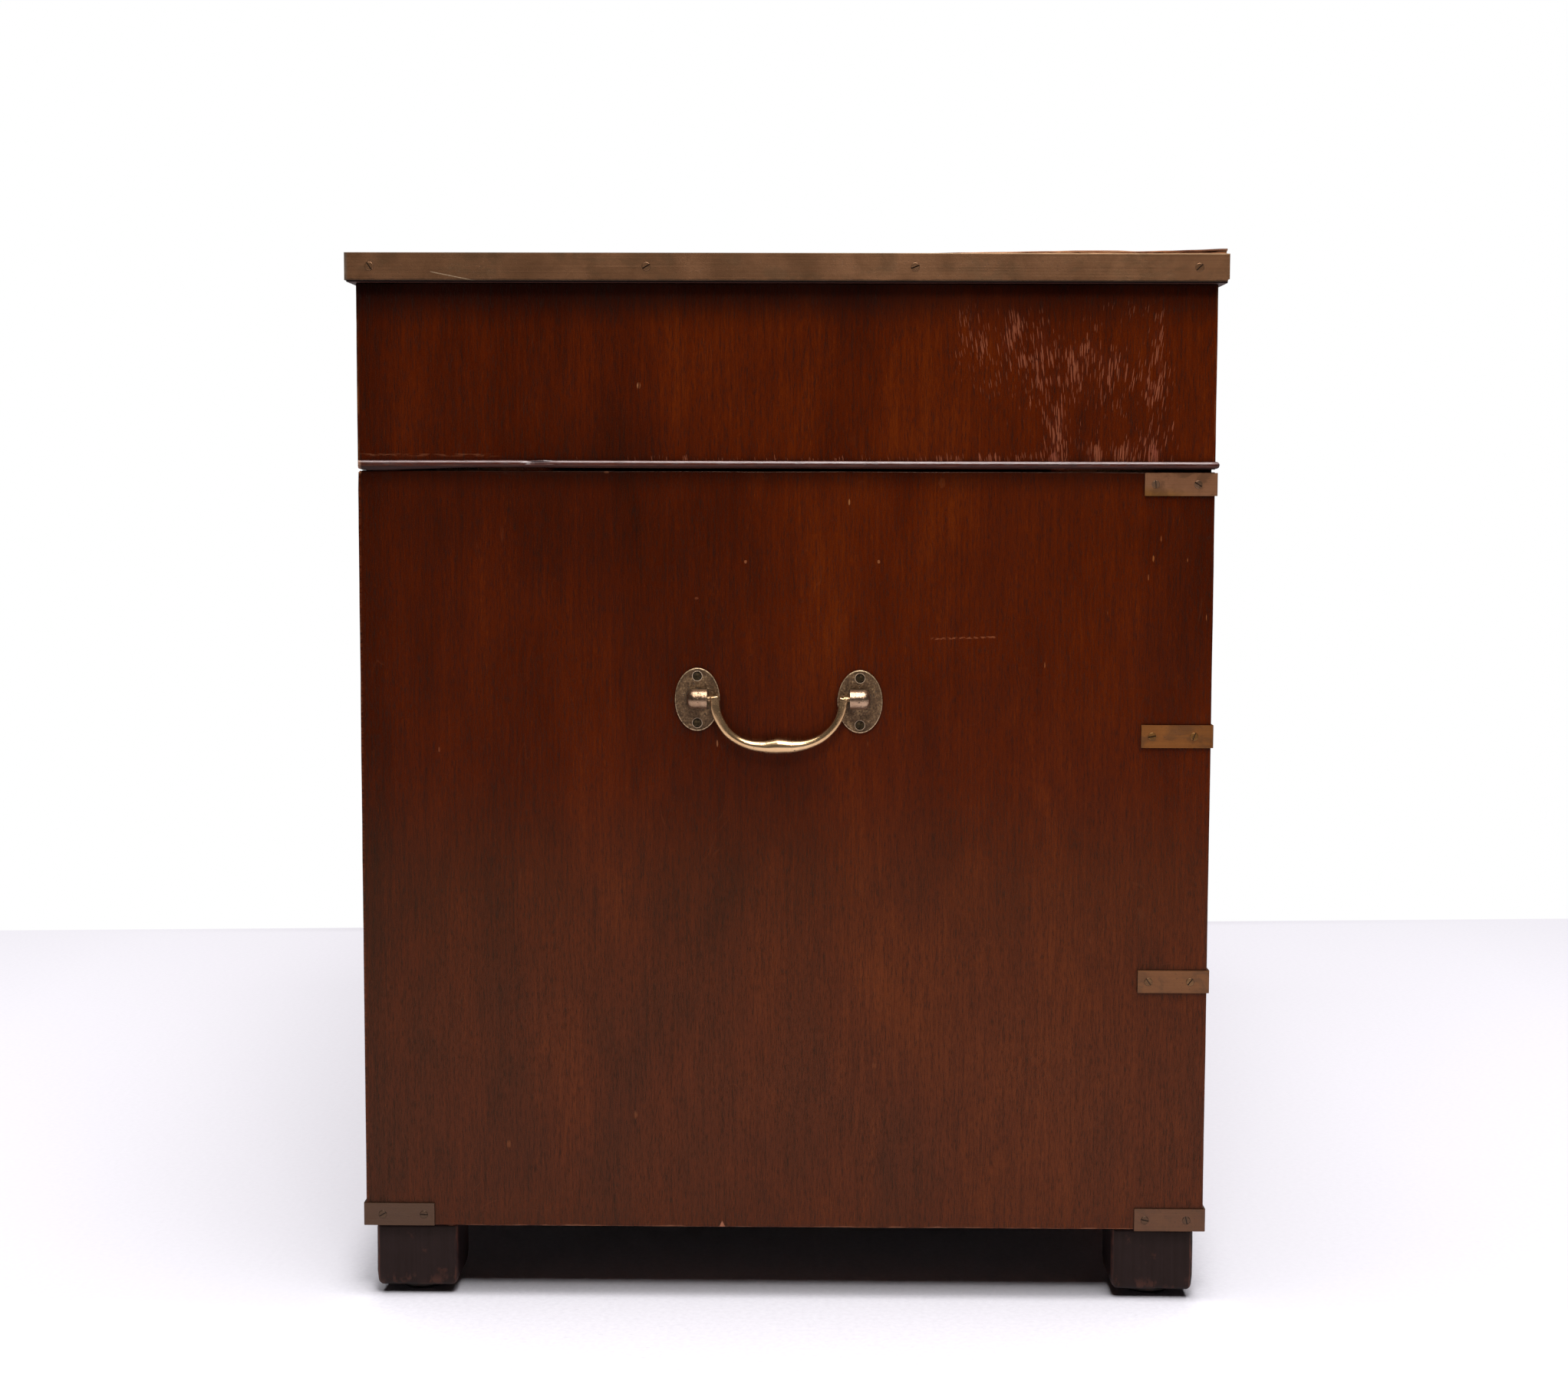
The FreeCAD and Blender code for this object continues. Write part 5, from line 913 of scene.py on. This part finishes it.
# ---------------------------------------------------------------- carry handles
# centre line of the bail on the end of the desk (y, z), its half width in the plane, half thickness across it, squareness
BAIL = [
    (49.6, 433.7, 3.5, 2.7, 3.4), (49.1, 430.0, 3.45, 2.7, 3.4), (48.0, 422.7, 3.15, 2.75, 3.2), (44.9, 415.8, 3.0, 2.8, 2.8), (40.8, 409.7, 2.95, 2.9, 2.4),
    (36.4, 405.7, 2.95, 3.0, 2.2), (30.4, 402.2, 3.05, 3.1, 2.0), (23.5, 399.9, 3.35, 3.4, 2.0), (15.3, 398.9, 3.95, 4.0, 2.0), (10.0, 398.9, 4.6, 4.6, 2.0),
    (4.6, 399.3, 5.05, 5.0, 2.0), (-0.8, 399.1, 4.6, 4.6, 2.0), (-5.9, 399.1, 4.05, 4.1, 2.0), (-14.0, 400.2, 3.3, 3.4, 2.0), (-21.7, 402.8, 2.95, 3.1, 2.1),
    (-27.8, 406.4, 2.7, 3.0, 2.3), (-33.5, 411.9, 2.6, 2.9, 2.6), (-37.4, 418.0, 2.6, 2.8, 3.0), (-39.7, 424.6, 2.9, 2.75, 3.2), (-40.6, 429.6, 3.25, 2.7, 3.4), (-41.3, 432.6, 3.8, 2.7, 3.4),
]


def make_bail(side):
    bm = bmesh.new()
    x0 = side * 607.0
    rows = spline(BAIL, 6)
    n = 28
    rings = []
    for i, (y, z, w, t, e) in enumerate(rows):
        a, b = rows[max(i - 1, 0)], rows[min(i + 1, len(rows) - 1)]
        ty, tz = b[0] - a[0], b[1] - a[1]
        ln = math.hypot(ty, tz)
        ny, nz = -tz / ln, ty / ln
        ring = []
        for k in range(n):
            u = 2 * math.pi * k / n
            c, s = math.cos(u), math.sin(u)
            cu = math.copysign(abs(c) ** (2 / e), c) * w
            su = math.copysign(abs(s) ** (2 / e), s) * t
            h = 1.0 + 0.030 * wob(y * 1.0, z, su * 2, 120, 4.0) + 0.012 * wob(y, z, cu, 480, 2.0)
            ring.append(Vector((x0 + su * h, y + ny * cu * h, z + nz * cu * h)))
        rings.append(ring)
    # the cut ends of the arms are flat with a small filed edge
    for end, sgn in ((0, 1), (-1, -1)):
        ring = rings[end]
        c = sum(ring, Vector()) / n
        inner = [c + (v - c) * 0.86 for v in ring]
        for v in inner:
            v.z += 0.45
        if end == 0:
            rings.insert(0, inner)
        else:
            rings.append(inner)
    skin(bm, rings)
    for y, sgn in ((49.6, 1), (-41.2, -1)):
        turned(bm, (x0, y, 432.2), (0, sgn, 0), [(0.0, 1.6), (0.0, 2.05), (3.6, 2.1), (4.2, 2.0), (9.4, 2.0), (9.8, 1.6)], 16)
    return piece("carry_handle_bail_shaped_" + ("left" if side < 0 else "right"), bm, C["brass_bail"], "carry_handle_" + ("left" if side < 0 else "right"),
                 ("carry_handle_bail_" + ("left" if side < 0 else "right"),), 40)


# ---------------------------------------------------------------- the veneer that has lifted at the left front corner of the top
def make_veneer():
    bm = bmesh.new()
    prof = [(-100.0, 0.0), (-120.0, 0.45), (-150.0, 0.95), (-174.0, 1.45), (-204.0, 2.0), (-226.0, 2.0), (-243.0, 1.45), (-262.0, 1.95), (-280.0, 2.5), (-303.4, 3.2)]

    def height(y):
        if y >= prof[0][0]:
            return 0.0
        for (a, ha), (b, hb) in zip(prof, prof[1:]):
            if y >= b:
                return ha + (hb - ha) * smooth(0, 1, (a - y) / (a - b))
        return prof[-1][1]

    ny, nx = 118, 16
    width = 38.0
    top, bot = [], []
    for i in range(ny + 1):
        y = -101.0 - (202.4) * i / ny
        ragged = 0.55 * wob(0, y, 0, 60, 1.0) + 0.35 * wob(0, y, 0, 260, 2.0)
        ra, rb = [], []
        for j in range(nx + 1):
            u = j / nx
            x = -609.1 + 0.5 * ragged + (width - 0.5 * ragged) * u ** 1.25
            yy = y + (0.5 * wob(x, 0, 0, 150, 5) if i == ny else 0.0)
            lift = height(y) * max(0.0, 1 - u) ** 1.7
            front = smooth(-268.0, -303.4, y) * 0.9 * max(0.0, 1 - u) ** 0.8
            h = lift + front * 0.25 + 0.10 * wob(x, y, 0, 90, 3.0) * (1 - u)
            z = 741.04 + max(0.0, h)
            th = 0.75 + 0.12 * wob(x, y, 0, 200, 7.0)
            if u > 0.97:
                z, th = 741.02, 0.5
            ra.append(Vector((x, yy, z)))
            rb.append(Vector((x, yy, z - th)))
        top.append(ra)
        bot.append(rb)
    rings = [a + b[::-1] for a, b in zip(top, bot)]
    skin(bm, rings)
    ob = piece("lifted_veneer", bm, C["veneer"], "top_section", (), 50)
    # torn layers of the ground under it
    bm = bmesh.new()
    rnd = random.Random(7)
    for q in range(46):
        y0 = -150.0 - 152.0 * (q / 46.0) ** 0.8 + rnd.uniform(-3, 3)
        ln = rnd.uniform(7, 26)
        y1 = max(y0 - ln, -303.0)
        if y0 - y1 < 3:
            continue
        hh = height((y0 + y1) / 2)
        z = 741.0 + rnd.uniform(0.05, 0.55) * max(0.0, hh - 0.7)
        x = -609.0 + rnd.uniform(0.0, 1.6)
        w = rnd.uniform(3, 9)
        th = rnd.uniform(0.18, 0.5)
        rings = []
        for i in range(9):
            u = i / 8
            y = y0 + (y1 - y0) * u
            s = math.sin(math.pi * min(max(u, 0.04), 0.96)) ** 0.5
            zz = z + 0.22 * wob(q * 9, y, 0, 120, 1.0)
            xx = x + 0.5 * wob(q * 5, y, 0, 200, 4.0)
            rings.append([Vector((xx, y, zz - th * s / 2)), Vector((xx, y, zz + th * s / 2)), Vector((xx + w, y, zz + th * s * 0.3 - 0.15)), Vector((xx + w, y, zz - th * s * 0.4 - 0.15))])
        skin(bm, rings)
    piece("torn_ground_layers", bm, C["raw_wood"], "top_section", (), 60)
    return ob


# ---------------------------------------------------------------- bead under the top section
def make_bead():
    bm = bmesh.new()
    pts = []  # (x, y, outward normal)
    R = 3.0

    def run(x0, y0, x1, y1, nx, ny, step=3.2):
        ln = math.hypot(x1 - x0, y1 - y0)
        n = max(2, int(ln / step))
        for i in range(n + 1):
            u = i / n
            pts.append((x0 + (x1 - x0) * u, y0 + (y1 - y0) * u, nx, ny))

    run(-600, 298.4, -600, -298.2, -1, 0)
    for k in range(1, 6):
        a = math.pi + (math.pi / 2) * k / 6
        pts.append((-599.2, -298.2, math.cos(a), math.sin(a)))
    run(-599.0, -299, 599.0, -299, 0, -1, 4.5)
    for k in range(1, 6):
        a = -math.pi / 2 + (math.pi / 2) * k / 6
        pts.append((599.2, -298.2, math.cos(a), math.sin(a)))
    run(600, -298.2, 600, 298.4, 1, 0)
    rings = []
    total = len(pts)
    for i, (x, y, nx, ny) in enumerate(pts):
        end = min(1.0, min(i, total - 1 - i) / 2.0)
        onleft = nx < -0.9
        sag = -1.0 * smooth(180.0, 292.0, y) - 0.75 * smooth(222.0, 262.0, y) - 0.60 * smooth(258.0, 282.0, y) + 1.1 * smooth(294.6, 297.6, y) if onleft else 0.0
        notch = (smooth(160.5, 163.5, y) - smooth(178.0, 183.0, y)) if onleft else 0.0
        ring = []
        m = 12
        for k in range(m + 1):
            a = -math.pi / 2 + math.pi * k / m
            out = 3.0 * math.cos(a) ** 0.85 if 0 < k < m else 0.0
            hz = 2.5 * math.sin(a)
            wear = 0.20 * wob(x, y, hz * 4, 45, 6.0) + 0.10 * wob(x, y, hz * 4, 240, 8.0)
            out = max(0.0, out + (wear - 0.12) * math.cos(a) if 0 < k < m else 0.0)
            if notch > 0 and hz > -0.2:
                out *= 1 - 0.42 * notch
                hz *= 1 - 0.12 * notch
            out *= 0.75 + 0.25 * end
            ring.append(Vector((x + nx * out, y + ny * out, 596.15 + hz * (0.94 + 0.06 * end) + sag * (0.60 - 0.40 * math.sin(a)))))
        ring.append(Vector((x - nx * 1.2, y - ny * 1.2, 596.0 + 2.2 + 0.2 * sag)))
        ring.append(Vector((x - nx * 1.2, y - ny * 1.2, 596.0 - 2.0 + sag)))
        rings.append(ring)
    skin(bm, rings)
    # the lifted splinter over the notch
    rr = []
    for i in range(14):
        u = i / 13
        y = 184.0 - 24.0 * u
        w = 0.25 + 1.0 * math.sin(math.pi * min(0.97, 0.1 + 0.87 * u)) ** 0.7
        z = 597.95 + 0.32 * math.sin(math.pi * u) + 0.1 * wob(0, y, 0, 300, 1)
        x = -600.3 - 1.0 * w - 0.4 * math.sin(math.pi * u)
        rr.append([Vector((x, y, z - 0.28)), Vector((x + 0.2, y, z + 0.25)), Vector((x + 1.6 * w + 0.3, y, z + 0.3)), Vector((x + 1.6 * w + 0.3, y, z - 0.3))])
    skin(bm, rr)
    return piece("bead_moulding_worn", bm, C["mahogany_bead"], "top_section", ("bead_moulding",), 50)


# ---------------------------------------------------------------- feet
def make_feet():
    bm = bmesh.new()
    seed = 1.0
    for x0, x1 in ((-594.0, -535.5), (-274.5, -216.0), (216.0, 274.5), (535.5, 594.0)):
        for y0, y1 in ((-293.5, -235.0), (234.5, 293.0)):
            seed += 1.7

            def soften(p, x0=x0, x1=x1, y0=y0, y1=y1, s=seed):
                # the lower end is drawn in a little and knocked about
                k = smooth(16.0, 6.0, p.z)
                cx, cy = (x0 + x1) / 2, (y0 + y1) / 2
                f = 1 - 0.030 * k - 0.010 * max(0.0, wob(p.x, p.y, p.z, 60, s)) * k
                q = Vector((cx + (p.x - cx) * f, cy + (p.y - cy) * f, p.z))
                if p.z > 48:
                    q.z = min(52.6, p.z)
                chip = max(0.0, wob(p.x, p.y, p.z, 40, s + 5) - 0.25)
                if p.z < 14:
                    q.z += 2.2 * chip * k
                return q

            worn_board(bm, (x0, y0, 6.0), (x1, y1, 52.6), 4.2, (6.5, 6.5, 6.5), 0.35, seed, soften, 0.25)
    return piece("block_feet_worn", bm, C["foot_wood"], "pedestals", ("block_feet",), 60)


# ---------------------------------------------------------------- case ends
def make_sides():
    bm = bmesh.new()
    for k, (x0, x1) in enumerate(((-600.0, -582.0), (-228.0, -210.0), (210.0, 228.0), (582.0, 600.0))):
        outer = -1 if k in (0, 2) else 1

        def worn(p, k=k):
            # top corners knocked round at the back, a chip on the lower edge of the left end
            if p.z > 560:
                c = smooth(297.4, 299.0, p.y) * smooth(589.9, 591.3, p.z)
                p = Vector((p.x, p.y - 1.1 * c, p.z - 1.3 * c))
            if k == 0 and p.z < 60:
                c = max(0.0, 1 - abs(p.y - 44.0) / 2.6) * smooth(59.0, 52.6, p.z) * smooth(-598.0, -600.0, p.x)
                p = Vector((p.x + 1.2 * c, p.y, p.z + 1.5 * c))
            return p

        worn_board(bm, (x0, -299.0, 52.6), (x1, 299.0, 591.4), 1.0, (20.0, 13.0, 13.0), 0.9, 3.0 + k, worn, 0.12)
    return piece("pedestal_sides_worn", bm, C["mahogany_case"], "pedestals", ("pedestal_sides",), 40)


def make_frieze_ends():
    bm = bmesh.new()
    for k, (x0, x1) in enumerate(((-600.0, -582.0), (582.0, 600.0))):
        worn_board(bm, (x0, -299.0, 593.2), (x1, 299.0, 721.0), 0.9, (20.0, 12.0, 10.0), 0.9, 13.0 + k, None, 0.12)
    return piece("frieze_ends_worn", bm, C["mahogany_frieze"], "top_section", ("frieze_ends",), 40)


HANDLE_SCREWS = ((61.6, 448.1), (61.6, 415.1), (-52.6, 446.8), (-52.6, 413.8))


def make_handle_screws():
    bm = bmesh.new()
    rnd = random.Random(3)
    for side in (-1, 1):
        for y, z in HANDLE_SCREWS:
            ang = rnd.uniform(0, math.pi)
            base = Vector((side * 600.5, y, z))
            out = Vector((side, 0, 0))
            # countersunk head with a filed rim, lying a little below the plate
            prof = [(0.0, 1.5), (0.05, 3.05), (0.35, 3.2), (0.55, 3.05), (0.62, 2.7), (0.66, 1.6), (0.68, 0.4)]
            rings = []
            n = 40
            sv, cv = math.sin(ang), math.cos(ang)
            for d, rad in prof:
                ring = []
                for i in range(n):
                    a = 2 * math.pi * i / n
                    u, v = rad * math.cos(a), rad * math.sin(a)
                    across = abs(u * sv - v * cv)
                    dip = 0.55 * smooth(0.62, 0.40, across) if d > 0.3 else 0.0
                    ring.append(base + out * (d - dip) + Vector((0, u, v)))
                rings.append(ring)
            skin(bm, rings)
            # raised burr round the hole in the plate, in a pale brass that paints the highlight on the rim
            rings = []
            for i in range(n + 1):
                a = 2 * math.pi * i / n
                ring = []
                for k in range(6):
                    q = 2 * math.pi * k / 6
                    w = 0.25 * (1 + 0.4 * wob(20 * math.cos(a), 20 * math.sin(a), y, 90, 2.0))
                    rr = 3.50 + w * math.cos(q)
                    ring.append(Vector((side * (601.74 + w * math.sin(q)), y + rr * math.cos(a), z + rr * math.sin(a))))
                rings.append(ring)
            skin(bm, rings, caps=False)
    bmesh.ops.remove_doubles(bm, verts=bm.verts, dist=0.002)
    ob = piece("carry_handle_screws_sunk", bm, C["dark_screw"], "pedestals", ("carry_handle_screws",), 40)
    # the burr's faces take the painted highlight
    ob.data.materials.append(C["screw_rim_highlight"])
    for f in ob.data.polygons:
        if abs(f.center[0]) > 0.6014:
            f.material_index = 1
    return ob


make_bail(-1)
make_bail(1)
make_handle_screws()
make_veneer()
make_bead()
make_feet()
make_sides()
make_frieze_ends()


# ---------------------------------------------------------------- the stage
def floor_mat():
    s = Mat("paper_floor")
    x, y, z = s.xyz()
    grain = s.noise(240.0, 4.0, 0.6)
    speck = s.mul(s.step(s.cells(34.0), 0.045, 0.020), s.step(s.noise(5.0, 3.0), 0.50, 0.62))
    col = s.ramp(grain, (0.3, (0.80, 0.775, 0.83)), (0.7, (0.87, 0.845, 0.90)))
    col = s.mix(s.mul(speck, 0.40), col, (0.40, 0.38, 0.38))
    dust = s.mul(s.step(s.cells((90.0, 60.0, 60.0), (4.0, 1.0, 0.0)), 0.13, 0.06), s.step(s.noise(3.0, 3.0, 0.6), 0.44, 0.60))
    col = s.mix(s.mul(dust, 0.16), col, (0.45, 0.43, 0.44))
    n = s.bump(grain, 0.0003, 0.5)
    s.finish(col, 0.75, n, Specular_IOR_Level=0.2)
    # behind the desk the paper runs out into plain white, and beside the desk the floor glows part-way to white,
    # painted light that fills most of the shade there
    edge = s.sum(x, s.mul(y, 0.0698))
    far = s.step(edge, 0.915, 0.921)
    # painted light: the floor beside the desk glows, filling most of the shade there
    side = s.step(s.op("ABSOLUTE", y), 0.292, 0.345, 0.0, 0.56)
    side = s.mul(side, s.step(x, -0.66, -0.60))
    far = s.op("MAXIMUM", s.op("MAXIMUM", far, side), s.step(s.op("ABSOLUTE", y), 1.20, 2.0))
    em = s.add("ShaderNodeEmission")
    line = s.mul(s.step(edge, 0.880, 0.914), s.step(edge, 0.921, 0.915), s.step(s.op("ABSOLUTE", y), 1.0, 0.35))
    pale = s.mix(s.mul(line, 0.7), (0.93, 0.90, 0.955), (0.70, 0.67, 0.72))
    s.put(em.inputs[0], s.mix(s.step(edge, 0.915, 0.921), pale, (1.0, 1.0, 1.0)))
    em.inputs[1].default_value = 1.0
    mx = s.add("ShaderNodeMixShader")
    s.put(mx.inputs[0], far)
    s.t.links.new(s.b.outputs[0], mx.inputs[1])
    s.t.links.new(em.outputs[0], mx.inputs[2])
    s.t.links.new(mx.outputs[0], s.out.inputs[0])
    return s.m


def make_stage():
    bm = bmesh.new()
    n = 24
    vs = [[bm.verts.new((-2.45 + 5.8 * i / n, -3.2 + 6.4 * j / n, 0)) for j in range(n + 1)] for i in range(n + 1)]
    for i in range(n):
        for j in range(n):
            bm.faces.new((vs[i][j], vs[i + 1][j], vs[i + 1][j + 1], vs[i][j + 1]))
    me = bpy.data.meshes.new("paper_floor")
    bm.to_mesh(me)
    bm.free()
    ob = bpy.data.objects.new("paper_floor", me)
    ob.location.z = -0.0004
    me.materials.append(floor_mat())
    scene.collection.objects.link(ob)


def area(name, at, to, size, power, color=(1, 1, 1)):
    d = bpy.data.lights.new(name, "AREA")
    d.shape = "RECTANGLE"
    d.size, d.size_y = size
    d.energy = power
    d.color = color
    ob = bpy.data.objects.new(name, d)
    ob.location = at
    ob.rotation_mode = "QUATERNION"
    ob.rotation_quaternion = (Vector(to) - Vector(at)).to_track_quat("-Z", "Y")
    ob.visible_camera = False
    scene.collection.objects.link(ob)
    return ob


make_stage()
area("key", (-1.55, -0.30, 2.9), (-0.6, 0.0, 0.5), (1.3, 2.2), 59)
area("small_key", (-1.95, -0.10, 1.95), (-0.6, 0.0, 0.45), (0.40, 0.40), 11.0)
area("overhead", (-0.2, 0.0, 3.1), (-0.2, 0.0, 0.0), (2.6, 2.8), 122)

world = bpy.data.worlds.new("studio")
scene.world = world
world.use_nodes = True
wt = world.node_tree
wt.nodes.clear()
wo = wt.nodes.new("ShaderNodeOutputWorld")
w1, w2 = wt.nodes.new("ShaderNodeBackground"), wt.nodes.new("ShaderNodeBackground")
w1.inputs[0].default_value = (0.80, 0.80, 0.84, 1)
w1.inputs[1].default_value = 0.012
w2.inputs[0].default_value = (1, 1, 1, 1)
w2.inputs[1].default_value = 1.0
lp = wt.nodes.new("ShaderNodeLightPath")
wm = wt.nodes.new("ShaderNodeMixShader")
wt.links.new(lp.outputs["Is Camera Ray"], wm.inputs[0])
wt.links.new(w1.outputs[0], wm.inputs[1])
wt.links.new(w2.outputs[0], wm.inputs[2])
wt.links.new(wm.outputs[0], wo.inputs[0])
scene.view_settings.view_transform = "Standard"
scene.view_settings.look = "None"
